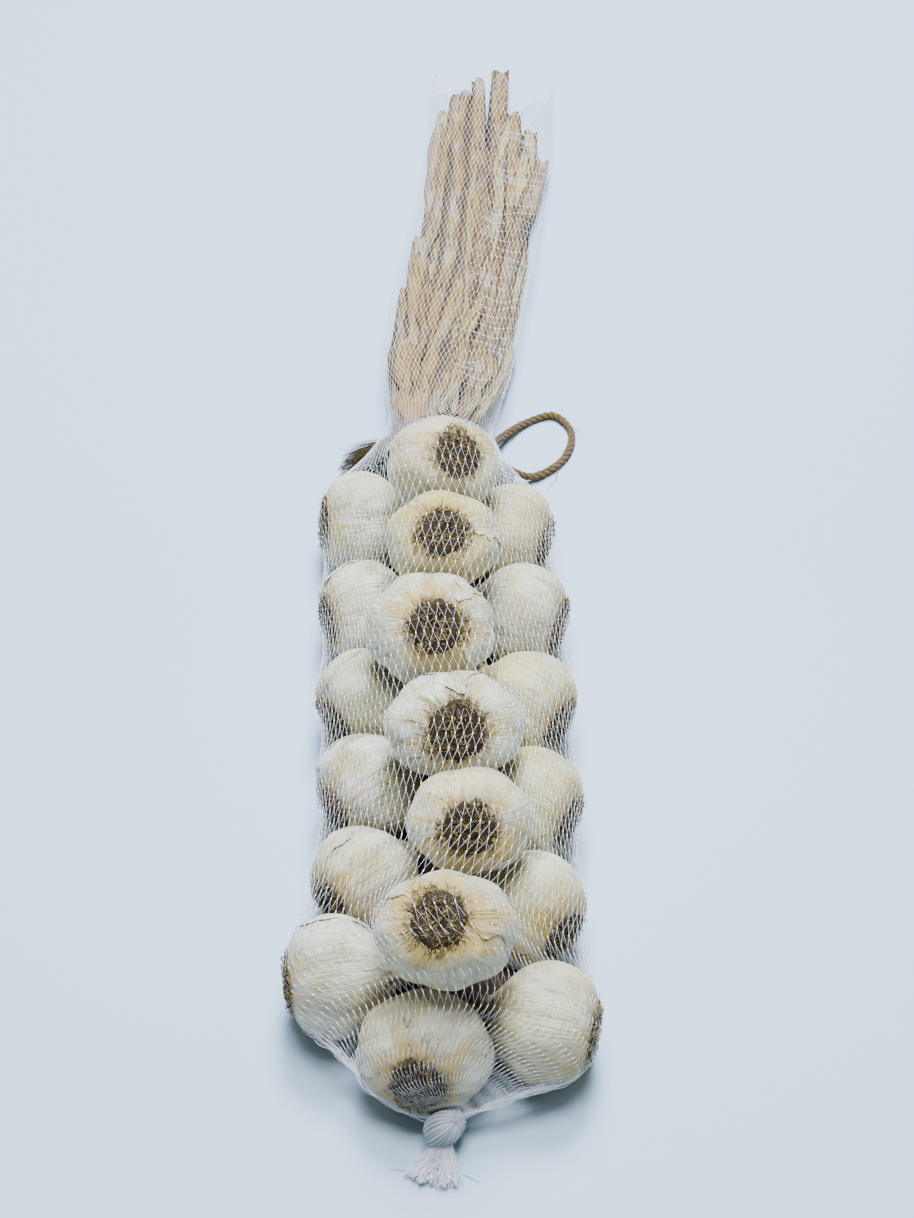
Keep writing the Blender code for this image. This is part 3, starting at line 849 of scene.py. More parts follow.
def build_skin_master():
    """A plain bulb one metre across: a circle drawn out ring by ring from under the roots to the neck."""
    corners = [(radius, 0, height) for radius, height in BULB_OUTLINE]
    outline = even_route(smooth_route(corners, 12), SKIN_RINGS + 1)
    bpy.ops.object.select_all(action="DESELECT")
    bpy.ops.mesh.primitive_circle_add(
        vertices=SKIN_SIDES, radius=outline[0, 0], location=(0, 0, outline[0, 2]), fill_type="NOTHING"
    )
    master = bpy.context.object
    edit_all(master)
    for near, far in zip(outline, outline[1:]):
        bpy.ops.mesh.extrude_region_move(TRANSFORM_OT_translate={"value": (0, 0, far[2] - near[2])})
        grow = far[0] / near[0]
        bpy.ops.transform.resize(value=(grow, grow, 1))
    bpy.ops.mesh.select_all(action="SELECT")
    bpy.ops.mesh.fill_holes(sides=0)
    leave_edit()
    set_in_place(master)
    order = np.arange(SKIN_SIDES * (SKIN_RINGS + 1))
    down = order // SKIN_SIDES / SKIN_RINGS
    keep_grain(master.data, order % SKIN_SIDES / SKIN_SIDES, down, 0)
    return master


SKIN_MASTER = build_skin_master()


def build_bulb(bulb):
    """A bulb's skin: the master bulged over its cloves, wrinkled, squashed and put in its place."""
    skin = copy_of(SKIN_MASTER, bulb.name.replace("bulb", "skin"))
    points = places_of(skin.data)
    seed = bulb.row * 3.1 + len(bulb.name) * 1.7 + (5.0 if "right" in bulb.name else 0.0)
    radius = np.hypot(points[:, 0], points[:, 1])
    angle = np.arctan2(points[:, 1], points[:, 0])
    height = points[:, 2]
    bulge = np.clip((radius - 0.24) / 0.20, 0, 1)
    phase = bulb.cloves * angle + bulb.row
    groove = LOBE_DEPTH * 0.5 * (1 - np.cos(phase)) + 0.016 * (0.5 * (1 - np.cos(phase))) ** 10
    gathered = np.clip((0.34 - radius) / 0.14, 0, 1) * (radius > 0.15)
    ribs = 0.0030 * np.cos(23 * angle + 5 * np.sin(2 * angle + seed) + 3 * height)
    ribs += 0.0018 * np.cos(41 * angle + 4 * np.sin(3 * angle - seed))
    pleats = 0.006 * gathered * np.cos(31 * angle + 6 * np.sin(3 * angle + seed))
    lumps = 0.010 * rough_at(points, 3.2, (seed, 0, 0))
    dents = 0.0045 * rough_at(points, 9.0, (0, seed, 0))
    reach = 1 - bulge * groove + bulge * (ribs + lumps + dents)
    squash = 1 - bulge * (1 - bulb.squash)
    local = np.column_stack((points[:, 0] * reach, points[:, 1] * reach * squash, height + pleats))
    placed = bulb.place(local)
    placed[:, 2] = np.maximum(placed[:, 2], 0.0001)
    move_to(skin.data, placed)
    grain = kept_values(skin.data, "grain")
    grain[:, 2] = seed
    keep_values(skin.data, "grain", grain)
    keep_values(skin.data, "bulb", np.tile(bulb.finish, (len(points), 1)))
    # Painted shade, with some dust: near grows where this skin is packed against another bulb.
    others = [other for other in bulbs if other is not bulb]
    gaps = [np.linalg.norm(placed - other.middle, axis=1) / other.diameter for other in others]
    packed = np.clip(1 - (np.min(gaps, axis=0) - 0.5) / 0.20, 0, 1)
    keep_values(skin.data, "near", SHADE_AND_DUST.get(bulb.name, 1.0) * packed)
    face_out(skin)
    return skin


skins = {}
for bulb in bulbs:
    skins[bulb.name] = build_bulb(bulb)
for bulb in bulbs:
    finish_piece(skins[bulb.name], SKIN, "garlic_skin", bulb.name)

# Loose tongues of papery skin: their bulb, the bearing round it, half their width in turns of the bulb, where
# they start and end down the skin, and how far they stand off it in millimetres.
FLAPS = (
    ("bulb_front_4", 0.00, 0.062, 0.17, 0.50, 0.9),
    ("bulb_front_4", 0.34, 0.040, 0.18, 0.46, 0.5),
    ("bulb_front_3", 0.66, 0.075, 0.16, 0.44, 0.8),
    ("bulb_front_3", 0.90, 0.050, 0.17, 0.42, 0.7),
    ("bulb_front_2", 0.78, 0.060, 0.17, 0.45, 0.6),
    ("bulb_front_5", 0.28, 0.045, 0.16, 0.40, 0.7),
    ("bulb_front_5", 0.60, 0.055, 0.18, 0.47, 0.6),
    ("bulb_front_6", 0.13, 0.060, 0.16, 0.46, 0.7),
    ("bulb_front_6", 0.72, 0.050, 0.17, 0.48, 0.7),
    ("bulb_foot", 0.22, 0.070, 0.20, 0.58, 0.7),
    ("bulb_left_2", 0.88, 0.060, 0.22, 0.62, 0.7),
    ("bulb_left_4", 0.93, 0.055, 0.24, 0.66, 0.7),
    ("bulb_left_5", 0.86, 0.050, 0.18, 0.52, 0.8),
    ("bulb_left_6", 0.90, 0.070, 0.30, 0.70, 0.8),
    ("bulb_right_2", 0.12, 0.060, 0.20, 0.55, 0.8),
    ("bulb_right_3", 0.06, 0.055, 0.26, 0.66, 0.7),
    ("bulb_right_5", 0.08, 0.070, 0.24, 0.64, 0.9),
    ("bulb_right_6", 0.12, 0.065, 0.22, 0.60, 0.8),
)


def on_skin(bulb, bearing, down):
    """Points on a bulb's finished skin, at a bearing round it and a share of the way down it."""
    rings = places_of(skins[bulb.name].data)[: SKIN_SIDES * (SKIN_RINGS + 1)]
    rings = rings.reshape(SKIN_RINGS + 1, SKIN_SIDES, 3)
    column, ring = (bearing % 1.0) * SKIN_SIDES, np.clip(down, 0, 0.99) * SKIN_RINGS
    left, upper = column.astype(int), ring.astype(int)
    right, lower = (left + 1) % SKIN_SIDES, upper + 1
    shift, drop = (column - left)[:, None], (ring - upper)[:, None]
    left %= SKIN_SIDES
    above = rings[upper, left] * (1 - shift) + rings[upper, right] * shift
    below = rings[lower, left] * (1 - shift) + rings[lower, right] * shift
    return above * (1 - drop) + below * drop


def build_flaps():
    """Tongues of loose outer skin: narrow at the roots, wider down the bulb, with ragged lifted edges."""
    bpy.ops.object.select_all(action="DESELECT")
    bpy.ops.mesh.primitive_grid_add(x_subdivisions=18, y_subdivisions=22, size=1.0)
    master = bpy.context.object
    flaps = []
    for i, (name, turn, half, start, end, lift) in enumerate(FLAPS):
        bulb = bulbs[list(skins).index(name)]
        flap = copy_of(master, "flap")
        flat = places_of(flap.data)
        across, along = 2 * flat[:, 0], flat[:, 1] + 0.5
        ragged = 1 + 0.22 * wave(along, 7, 50 + i) + 0.05 * np.sin(31 * along + i)
        bearing = turn + 0.012 * wave(along, 4, 80 + i)
        bearing += half * across * (0.30 + 0.70 * along**0.8) * ragged
        down = start + (end - start) * along * (1 + 0.10 * wave(0.5 + 0.5 * across, 6, 20 + i))
        place = on_skin(bulb, bearing, down)
        out = place - bulb.middle
        out /= np.linalg.norm(out, axis=1)[:, None]
        edges = np.maximum(np.abs(across) ** 3, (1 - along) ** 4)
        rise = 0.12 + 0.88 * edges * (0.6 + 0.5 * wave(along, 5, 10 + i))
        move_to(flap.data, place + out * (rise * lift * MM)[:, None])
        keep_grain(flap.data, bearing, down, 7.0 + 1.9 * i)
        stain, cream, lilac = bulb.finish
        keep_values(flap.data, "bulb", np.tile((0.6 * stain, 0.5 * cream, lilac), (len(down), 1)))
        pick(flap)
        flap.modifiers.new("paper", "SOLIDIFY").thickness = 0.00012
        bpy.ops.object.modifier_apply(modifier="paper")
        flap.data.shade_smooth()
        flaps.append(flap)
    discard(master)
    flaps = joined("loose_skins", flaps)
    face_out(flaps)
    finish_piece(flaps, SKIN, "garlic_skin")


build_flaps()

# ---------------------------------------------------------------- roots

ROOT_BASE = 0.350  # where the root plate sits, from a bulb's middle in diameters
ROOT_FIBRES = 330  # on each bulb
RIM_FIBRES = 110  # dry ones round each bulb's plate
ROOT_FIBRE = 0.00042  # thickness of a root fibre, and of a dry one
DRY_FIBRE = 0.00032


def root_routes(bulb, size, uneven):
    """Short curled fibres matted over a bulb's root plate."""
    routes = []
    for _ in range(ROOT_FIBRES):
        turn = chance.uniform(0, TAU)
        ragged = 0.16 * math.sin(2 * turn + uneven[0]) + 0.11 * math.sin(3 * turn + uneven[1])
        edge = size * (0.97 + ragged)
        out = edge * math.sqrt(chance.uniform(0.01, 1.0))
        spoke = np.array((math.cos(turn), math.sin(turn), 0.0))
        place = spoke * out + (0, 0, ROOT_BASE + 0.036 * (1 - (out / edge) ** 2))
        way = spoke * out / edge + (0, 0, 0.55) + chance.normal(0, 0.6, 3)
        way /= np.linalg.norm(way)
        curl = chance.normal(0, 1, 3)
        step = chance.uniform(0.010, 0.023)
        route = [place - way * 0.008]
        for _ in range(4):
            curl = curl + chance.normal(0, 0.6, 3)
            way = way + 0.50 * np.cross(way, curl)
            way[2] -= 0.08
            way /= np.linalg.norm(way)
            place = place + way * step
            place[2] = np.clip(place[2], 0.354, 0.404)
            route.append(place)
        routes.append(bulb.place(np.array(route)))
    return routes


def rim_routes(bulb, size):
    """Dry fibres that lie outward on the skin round the root plate."""
    routes = []
    for _ in range(RIM_FIBRES):
        turn = chance.uniform(0, TAU)
        out = size * chance.uniform(0.80, 1.08)
        place = np.array((out * math.cos(turn), out * math.sin(turn), 0.360))
        way = np.array((math.cos(turn), math.sin(turn), 0.15)) + chance.normal(0, 0.42, 3)
        way /= np.linalg.norm(way)
        step = chance.uniform(0.008, 0.030)
        route = [place]
        for _ in range(3):
            way = way + chance.normal(0, 0.25, 3)
            way /= np.linalg.norm(way)
            place = place + way * step
            out = math.hypot(place[0], place[1])
            ground = np.interp(out, (0.19, 0.232, 0.29, 0.39), (0.357, 0.353, 0.335, 0.282))
            place[2] = np.clip(place[2], ground, ground + 0.012)
            route.append(place)
        routes.append(bulb.place(np.array(route)))
    return routes


def fibre_piece(name, routes, thickness, material):
    """Fibres as one piece, each numbered for its tone."""
    for route in routes:
        route[:, 2] = np.maximum(route[:, 2], 0.0003)
    piece = strands(name, routes, thickness, 0.55)
    each = len(piece.data.vertices) // len(routes)
    keep_values(piece.data, "lot", (np.arange(len(piece.data.vertices)) // each).astype(float))
    finish_piece(piece, material, "garlic_skin")


def build_roots():
    """The trimmed roots: a matted disc of short curled fibres on every bulb, with dry ones round its rim."""
    bpy.ops.object.select_all(action="DESELECT")
    bpy.ops.mesh.primitive_circle_add(vertices=40, radius=0.205, fill_type="NGON")
    plate = bpy.context.object
    edit_all(plate)
    bpy.ops.mesh.inset(thickness=0.02, depth=0.026)
    bpy.ops.mesh.inset(thickness=0.05, depth=0.010)
    bpy.ops.mesh.inset(thickness=0.06, depth=-0.006)
    leave_edit()
    plates, outer, inner, rim = [], [], [], []
    for bulb in bulbs:
        disc = copy_of(plate, "plate")
        points = places_of(disc.data)
        rough = rough_at(points, 22, (bulb.row, len(bulb.name), 0))
        points[:, :2] *= (1 + 0.16 * rough)[:, None]
        points[:, 2] += ROOT_BASE - 0.006 + 0.012 * rough
        move_to(disc.data, bulb.place(points))
        plates.append(disc)
        size = chance.uniform(0.205, 0.236)
        own = inner if "front" in bulb.name or "foot" in bulb.name else outer
        own += root_routes(bulb, size, chance.uniform(0, TAU, 2))
        rim += rim_routes(bulb, size)
    discard(plate)
    plates = joined("root_plates", plates)
    face_out(plates)
    finish_piece(plates, ROOT_BED, "garlic_skin")
    fibre_piece("front_root_fibres", inner, ROOT_FIBRE, ROOT)
    fibre_piece("side_root_fibres", outer, ROOT_FIBRE, ROOT)
    fibre_piece("dry_root_fibres", rim, DRY_FIBRE, ROOT_RIM)


build_roots()

# ---------------------------------------------------------------- stalks

# The stalks of the handle, in millimetres: (across, up, shoulder, middle, tip, length, layer, width). across
# and up place each one in the bound bundle; shoulder, middle and tip are its places across the handle 50 mm
# and 130 mm beyond the tie and at its end, and layer counts up from the floor.
STALKS = (
    (-11, -5, -14, -6, 4, 248, 0.0, 14),
    (-3, -6, -2, 6, 14, 226, 0.0, 14),
    (5, -6, 10, 18, 26, 240, 0.0, 14),
    (10, -4, 21, 30, 38, 246, 0.1, 13),
    (13, 0, 26, 38, 46, 232, 0.4, 12),
    (-13, 0, -18, -17, -15, 112, 1.0, 13),
    (-9, 2, -13, -10, -9, 147, 1.3, 13),
    (-5, 1, -5, 4, 12, 257, 1.2, 12),
    (0, 3, 7, 16, 20, 268, 1.3, 11),
    (5, 2, 16, 26, 31, 274, 1.3, 13),
    (9, 3, 20, 35, 52, 204, 1.3, 11),
    (-10, 6, -3, 13, 16, 178, 2.3, 12),
    (-3, 7, 6, 20, 22, 190, 2.3, 12),
)
STALK_THICKNESS = 0.0055

# Narrow shreds of leaf and split stalk among them: their corners and their width.
SHREDS = (
    (((-15, 14, 22), (-19, 40, 13), (-16, 84, 10)), 5.0),
    (((-12, 10, 27), (-16, 34, 18), (-19, 66, 11)), 6.0),
    (((12, 8, 28), (20, 40, 17), (27, 84, 12)), 4.5),
    (((16, 10, 24), (26, 40, 13), (34, 78, 9)), 5.0),
    (((2, 10, 30), (10, 52, 20), (24, 120, 16)), 5.5),
    (((-6, 8, 30), (-10, 46, 20), (-6, 110, 15)), 5.0),
    (((8, 10, 29), (12, 60, 19), (13, 128, 17), (18, 200, 13)), 4.0),
    (((10, 60, 18), (22, 120, 15), (30, 190, 13), (36, 238, 9)), 6.5),
    (((-14, 60, 10), (-10, 120, 10), (0, 180, 10), (6, 236, 8)), 6.0),
)

# Dark sheets of painted shade, shaped as dry leaves, between the bulbs: across the foot end, beside the tie
# and along both sides of the plait. Their corners and their width.
SHADE_LEAVES = (
    (((-36, -258, 8), (-14, -277, 11), (12, -279, 11), (36, -264, 8)), 30),
    (((-34, -284, 7), (-8, -293, 9), (12, -292, 9), (34, -280, 7)), 22),
    (((-30, -240, 9), (-16, -262, 13), (18, -262, 13), (34, -246, 9)), 26),
    (((-35, 0, 3), (-26, -3, 6), (-12, -6, 12)), 16),
    (((-31, 8, 3), (-23, 6, 6), (-10, 2, 12)), 14),
    (((-31, -4, 3), (-22, -20, 5), (-15, -54, 8)), 18),
    (((33, -13, 3), (26, -10, 6), (12, -8, 12)), 13),
    (((33, -8, 3), (25, -24, 5), (18, -54, 8)), 18),
    (((-14, -50, 4), (-13, -120, 4), (-11, -200, 4), (-16, -270, 4)), 16),
    (((18, -50, 4), (21, -120, 4), (19, -200, 4), (20, -270, 4)), 16),
)
SHRED_THICKNESS = 0.0016
LEAF_THICKNESS = 0.0020
PLAIT_BOW = 5.0  # how far the plait bows to the right at its middle, in millimetres
PLAIT_LENGTH = 313.9  # in millimetres
STRAW_MASTER = straight_tube("straw_master", 26, 60)


def stalk_wall(seed, ragged=0.0):
    """A dried stalk's wall: folded in along a few lines, ribbed, and torn at its cut end."""

    def relief(around, along):
        angle = TAU * around
        drift = 0.5 * np.sin(3.1 * along + seed)
        fold = 0.20 * np.exp(-(np.sin(0.5 * (angle - 1.2 - drift - 0.3 * seed)) ** 2) / 0.012)
        fold += 0.16 * np.exp(-(np.sin(0.5 * (angle - 2.2 + drift)) ** 2) / 0.008)
        fold += 0.16 * np.exp(-(np.sin(0.5 * (angle - 4.6 + drift + seed)) ** 2) / 0.012)
        ribs = 0.035 * np.cos(9 * angle + seed + 2 * along) + 0.025 * np.cos(13 * angle - 3 * along)
        circle = np.column_stack((1.3 * np.cos(angle) + seed, 1.3 * np.sin(angle), 14 * along))
        lumps = rough_at(circle, 1)
        torn = ragged * np.clip((along - 0.97) / 0.03, 0, 1) * np.cos(5 * angle + seed)
        return 1 - fold + ribs + 0.14 * lumps + torn

    return relief


def bent_stalk(name, corners, width, thickness, seed, turn=0.0, taper=0.85):
    """A dried stalk through its corners, flattened, wandering and uneven in width."""
    count = 56
    route = even_route(smooth_route(corners, 10), count)
    share = np.linspace(0, 1, count)
    route[:, 0] += 2.0 * MM * wave(share, 5, seed) * np.sin(math.pi * share) ** 0.3
    route[:, 2] += 0.7 * MM * wave(share, 6, seed + 20)
    widths = width * (1 + 0.22 * wave(share, 7, seed + 40))
    widths *= np.interp(share, (0, 0.08, 0.9, 1), (0.8, 1, 1, taper))
    heights = thickness * (1 + 0.22 * wave(share, 6, seed + 60))
    route[:, 2] = np.maximum(route[:, 2], 0.42 * heights + 0.0004)
    tube = bend_along(STRAW_MASTER, name, route, widths, heights, (1, 0, 0), turn, stalk_wall(seed, 0.12))
    points = places_of(tube.data)
    grain = kept_values(tube.data, "grain")
    # The cut end is uneven, and split a little at its corners.
    tip = np.clip((grain[:, 1] - 0.955) / 0.045, 0, 1)
    onward = np.sign(route[-1, 1] - route[0, 1])
    points[:, 1] += onward * tip * 2.2 * MM * np.cos(3 * TAU * grain[:, 0] + seed)
    points[:, 2] = np.maximum(points[:, 2], 0.0003)
    move_to(tube.data, points)
    grain[:, 1] *= length_of(route) / 0.040
    grain[:, 2] = seed
    keep_values(tube.data, "grain", grain)
    # The stalks have turned golden brown where they are bound, most of all at the left.
    away = np.linalg.norm((points - from_tie((-14, 13, 22))) / (13 * MM, 17 * MM, 15 * MM), axis=1)
    patchy = 0.25 * rough_at(points, 160)
    keep_values(tube.data, "aged", np.clip(1.35 - away + patchy, 0, 0.9))
    return tube


def build_handle():
    pieces = []
    for i, (across, up, shoulder, middle, tip, length, layer, width) in enumerate(STALKS):
        lie = STALK_THICKNESS * (0.46 + 0.80 * layer) / MM
        bound = TIE_HEIGHT / MM + up
        corners = [(across * 0.8, -4, bound), (across, 12, bound), (shoulder, 50, lie + 3.5)]
        if length > 160:
            corners.append((middle, 130, lie))
        corners.append((tip, length, lie))
        turn = (0.0, 0.04, -0.05, 0.06, -0.04)[i % 5]
        route = from_tie(corners)
        pieces.append(bent_stalk(f"stalk_{i}", route, 0.76 * width * MM, STALK_THICKNESS, i * 1.37, turn))
    for i, (corners, width) in enumerate(SHREDS):
        route = from_tie(corners)
        pieces.append(bent_stalk(f"shred_{i}", route, width * MM, SHRED_THICKNESS, 31 + i * 2.3, 0.12, 0.5))
    return pieces


def plait_bow(y):
    """How far to the right the plait lies, in millimetres, at a place y millimetres from the tie."""
    return 0.5 * PLAIT_BOW * (1 - np.cos(TAU * np.clip(-y / PLAIT_LENGTH, 0, 1)))


def build_plait():
    """The plait along the back that the bulbs hang from: three stalks laid over each other."""
    start, end = -288.0, -14.0
    pieces = []
    for strand in range(3):
        y = np.linspace(start, end, 34)
        lap = TAU * (y / 72.0 + strand / 3)
        rise = np.interp(y, (-40, end), (0, 13))
        across = plait_bow(y) + 7.4 * np.interp(y, (-30, end), (1, 0.8)) * np.sin(lap)
        route = from_tie(np.column_stack((across, y, 7.2 + rise + 2.8 * np.sin(2 * lap)))[::3])
        pieces.append(bent_stalk(f"plait_{strand}", route, 11.5 * MM, 6.8 * MM, 70 + strand * 4.0))
    return pieces


def build_stems():
    """The short dried stem from each bulb's neck into the plait."""
    pieces = []
    for i, bulb in enumerate(bulbs):
        neck = bulb.place(np.array((0, 0, -NECK + 0.012)))
        y = min(neck[1] - TIE[1] + 0.018, -0.030)
        end = TIE + (plait_bow(y / MM) * MM, y, 0.016)
        gap = end - neck
        corners = (neck, neck + gap * 0.4 - bulb.roots * 0.004, end)
        width = 0.205 * bulb.diameter
        pieces.append(bent_stalk(f"stem_{i}", corners, width, width * 0.8, 90 + i * 1.9))
    return pieces


def build_core():
    """What fills the bundle between the stalks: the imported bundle, drawn in under them."""
    core = copy_of(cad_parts["stalks"], "bundle_core")
    edit_all(core)
    bpy.ops.mesh.remove_doubles(threshold=1e-6)
    bpy.ops.transform.shrink_fatten(value=-0.0012)
    leave_edit()
    points = places_of(core.data)
    points[:, 2] = np.maximum(points[:, 2], 0.0008)
    move_to(core.data, points)
    core.data.shade_smooth()
    leaves = [core]
    # The dark sheets of painted shade go in with the core.
    for i, (corners, width) in enumerate(SHADE_LEAVES):
        route = from_tie(corners)
        leaves.append(bent_stalk(f"leaf_{i}", route, width * MM, LEAF_THICKNESS, 140 + i * 2.7))
    return joined("bundle_core", leaves)


def build_stalks():
    handle = joined("handle_stalks", build_handle())
    finish_piece(handle, STRAW, "dried_stalk", "stalks")
    plait = joined("back_plait", build_plait())
    finish_piece(plait, STRAW, "dried_stalk")
    stems = joined("bulb_stems", build_stems())
    finish_piece(stems, STRAW, "dried_stalk")
    finish_piece(build_core(), SHADED_CORE, "dried_stalk")


build_stalks()

# ---------------------------------------------------------------- net

CELLS = 88  # diamonds round the net
BULB_STEP = 0.0062  # from one row of knots to the next over the bulbs
SLEEVE_STEP = 0.0034  # and on the loose sleeve
FOOT_STEP = 0.0080  # and round the foot
CLOSING = 7  # rows between the foot bulb and the knot
STRAND = 0.000105  # thickness of one strand
KNOT_WIDTH = 0.00052
KNOT_LENGTH = 0.0019
CLEAR = 0.00045  # how far the strands' middles stay off the skins

# The gathered end: the middle of its knot and the knot's half sizes.
net_low, net_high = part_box("net")
FOOT_BALL = np.array((0.0084, 0.0062, 0.0078))
FOOT_KNOT = np.array((net_high.x - FOOT_BALL[0], net_low.y + 0.0166, net_high.z - FOOT_BALL[2]))

# The loose sleeve over the stalks, in millimetres: (along, left edge, right edge, bottom, top).
SLEEVE = (
    (14, -21, 27, 3.0, 36),
    (36, -24, 31, 1.0, 33),
    (50, -26, 34, 0.6, 30),
    (78, -25, 38.5, 0.5, 27),
    (112, -21, 44, 0.5, 25),
    (131, -18, 47.2, 0.5, 24),
    (167, -12, 51.3, 0.5, 23),
    (206, -7, 55.5, 0.5, 22),
    (237, -5, 57.5, 0.5, 21),
    (262, -4, 58.5, 0.5, 21),
)


def around_ring(ring, shares):
    """Points at the given shares of the way round each closed ring, from 0 to 1."""
    closed = np.vstack((ring, ring[:1]))
    gone = np.concatenate(([0], np.cumsum(np.linalg.norm(np.diff(closed, axis=0), axis=1))))
    return np.column_stack([np.interp(shares * gone[-1], gone, closed[:, k]) for k in range(ring.shape[1])])


def evenly_round(corners):
    """Points evenly round a slice's tight outline, from below its middle. Corners are (across, up)."""
    order = geometry.convex_hull_2d([tuple(corner) for corner in corners])
    ring = around_ring(np.array([corners[i] for i in order]), np.arange(720) / 720)
    middle = 0.5 * (ring[:, 0].min() + ring[:, 0].max())
    below = np.argmin(np.abs(ring[:, 0] - middle) + 3 * (ring[:, 1] - ring[:, 1].min()))
    return around_ring(np.roll(ring, -below, axis=0), np.arange(CELLS) / CELLS)


def sleeve_outline(y):
    """The loose sleeve's outline across the stalks."""
    table = np.array(SLEEVE, float)
    along = (y - TIE[1]) / MM
    left, right, low, high = (np.interp(along, table[:, 0], table[:, k]) * MM for k in (1, 2, 3, 4))
    lap = np.linspace(0, TAU, 90, endpoint=False)
    across = np.sign(np.cos(lap)) * np.abs(np.cos(lap)) ** 0.8
    rise = np.sign(np.sin(lap)) * np.abs(np.sin(lap)) ** 0.8
    beside = TIE[0] + 0.5 * (left + right) + 0.5 * (right - left) * across
    return np.column_stack((beside, 0.5 * (low + high) + 0.5 * (high - low) * rise))


def row_places(foot):
    """Where the rows of knots start out along the braid: wide apart over the bulbs, closer on the sleeve."""
    places = [foot]
    steps = (FOOT_STEP, BULB_STEP, BULB_STEP, SLEEVE_STEP)
    while places[-1] < TIE[1] + SLEEVE[-1][0] * MM:
        step = np.interp(places[-1] - TIE[1], (-0.30, -0.24, -0.03, 0.03), steps)
        places.append(places[-1] + step)
    return places


def first_net():
    """The net before it settles: rows of points round the bulbs and stalks, slice by slice."""
    cloud = np.vstack([places_of(skins[bulb.name].data)[::5] for bulb in bulbs])
    lap = np.linspace(0, TAU, 24, endpoint=False)
    beside = TIE[0] + (TIE_HALF_WIDTH + 0.004) * np.cos(lap)
    neck = np.column_stack((beside, TIE_HEIGHT + 0.016 * np.sin(lap)))
    rows = []
    for y in row_places(cloud[:, 1].min() + 0.014):
        if y < TIE[1] + SLEEVE[0][0] * MM:
            near = cloud[np.abs(cloud[:, 1] - y) < 0.010][:, (0, 2)]
            ring = evenly_round(np.vstack((near, neck)) if y > TIE[1] - 0.020 else near)
        else:
            ring = evenly_round(sleeve_outline(y))
        rows.append(np.column_stack((ring[:, 0], np.full(CELLS, y), ring[:, 1])))
    lap = np.linspace(0, TAU, CELLS, endpoint=False) - 0.25 * TAU
    turned = -1 if rows[0][CELLS // 4, 0] < rows[0][0, 0] else 1
    mouth = np.column_stack((turned * 0.0050 * np.cos(lap), 0.0018 * np.sin(lap), 0.0040 * np.sin(lap)))
    gathered = FOOT_KNOT + (0.0006, 0.0035, 0.0010) + mouth
    closing = [gathered + (rows[0] - gathered) * (i / CLOSING) for i in range(CLOSING)]
    return np.array(closing + rows)


def stay_off_bulbs(points):
    """Push points out of the bulbs along a line from each bulb's middle."""
    crown = ((0.0, ROOT_CROWN), (CROWN_RADIUS, ROOT_CROWN - CROWN_DROP), (0.222, 0.356))
    outline = np.array([*crown, *BULB_OUTLINE[4:-2], (0.112, -NECK)])
    bearing = np.arctan2(outline[:, 0], outline[:, 1])
    distance = np.hypot(outline[:, 0], outline[:, 1])
    for bulb in bulbs:
        local = (points - bulb.middle) @ bulb.axes.T
        near = np.linalg.norm(local, axis=1) < 0.62 * bulb.diameter
        if not near.any():
            continue
        own = local[near]
        flattened = np.hypot(own[:, 0], own[:, 1] / bulb.squash)
        reach = np.hypot(flattened, own[:, 2])
        limit = np.interp(np.arctan2(flattened, own[:, 2]), bearing, distance) * bulb.diameter + CLEAR
        grow = np.maximum(limit / np.maximum(reach, 1e-6), 1.0)
        points[near] = (own * grow[:, None]) @ bulb.axes + bulb.middle
    return points


def stay_off_stalks(points, tree):
    for i, point in enumerate(points):
        place, normal, _, gap = tree.find_nearest(point)
        if place is not None and gap < 0.012 and (Vector(point) - place).dot(normal) < 2 * CLEAR:
            points[i] = place + normal * 2 * CLEAR
    return points


def spread_again(net, crowding):
    """Spread every row evenly round again from the point below. On the sleeve it is crowded at the back."""
    even = np.arange(CELLS) / CELLS
    return np.array(
        [around_ring(row, even - crowd * np.sin(TAU * even) / TAU) for row, crowd in zip(net, crowding)]
    )


def settle_net():
    """Draw the net tight over the bulbs: each knot moves between its neighbours and stays off the skins."""
    net = first_net()
    along = net[:, 0, 1] - TIE[1]
    crowding = np.interp(along, (-0.02, 0.05), (0.0, 0.32))
    rest = spread_again(net, crowding)
    hold = np.interp(along, (0.000, 0.030, 0.060), (0.0, 0.12, 0.35))[:, None, None]
    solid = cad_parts["stalks"].data
    faces = [tuple(face.vertices) for face in solid.polygons]
    bundle = BVHTree.FromPolygons([tuple(point.co) for point in solid.vertices], faces)
    handle = np.where(along > -0.010)[0]
    for lap in range(260):
        round_it = 0.5 * (np.roll(net, 1, axis=1) + np.roll(net, -1, axis=1))
        middle = net.copy()
        middle[1:-1] = 0.5 * (net[:-2] + net[2:])
        moved = net + 0.5 * (0.5 * round_it + 0.5 * middle - net)
        moved += (rest - moved) * hold
        moved[0], moved[-1] = net[0], net[-1]
        flat = stay_off_bulbs(moved.reshape(-1, 3))
        flat[:, 2] = np.maximum(flat[:, 2], 0.0005)
        net = flat.reshape(net.shape)
        if lap % 20 == 19:
            net[1:-1] = spread_again(net[1:-1], crowding[1:-1])
        if lap % 40 == 39:
            part = net[handle].reshape(-1, 3)
            net[handle] = stay_off_stalks(part, bundle).reshape(len(handle), CELLS, 3)
    return net


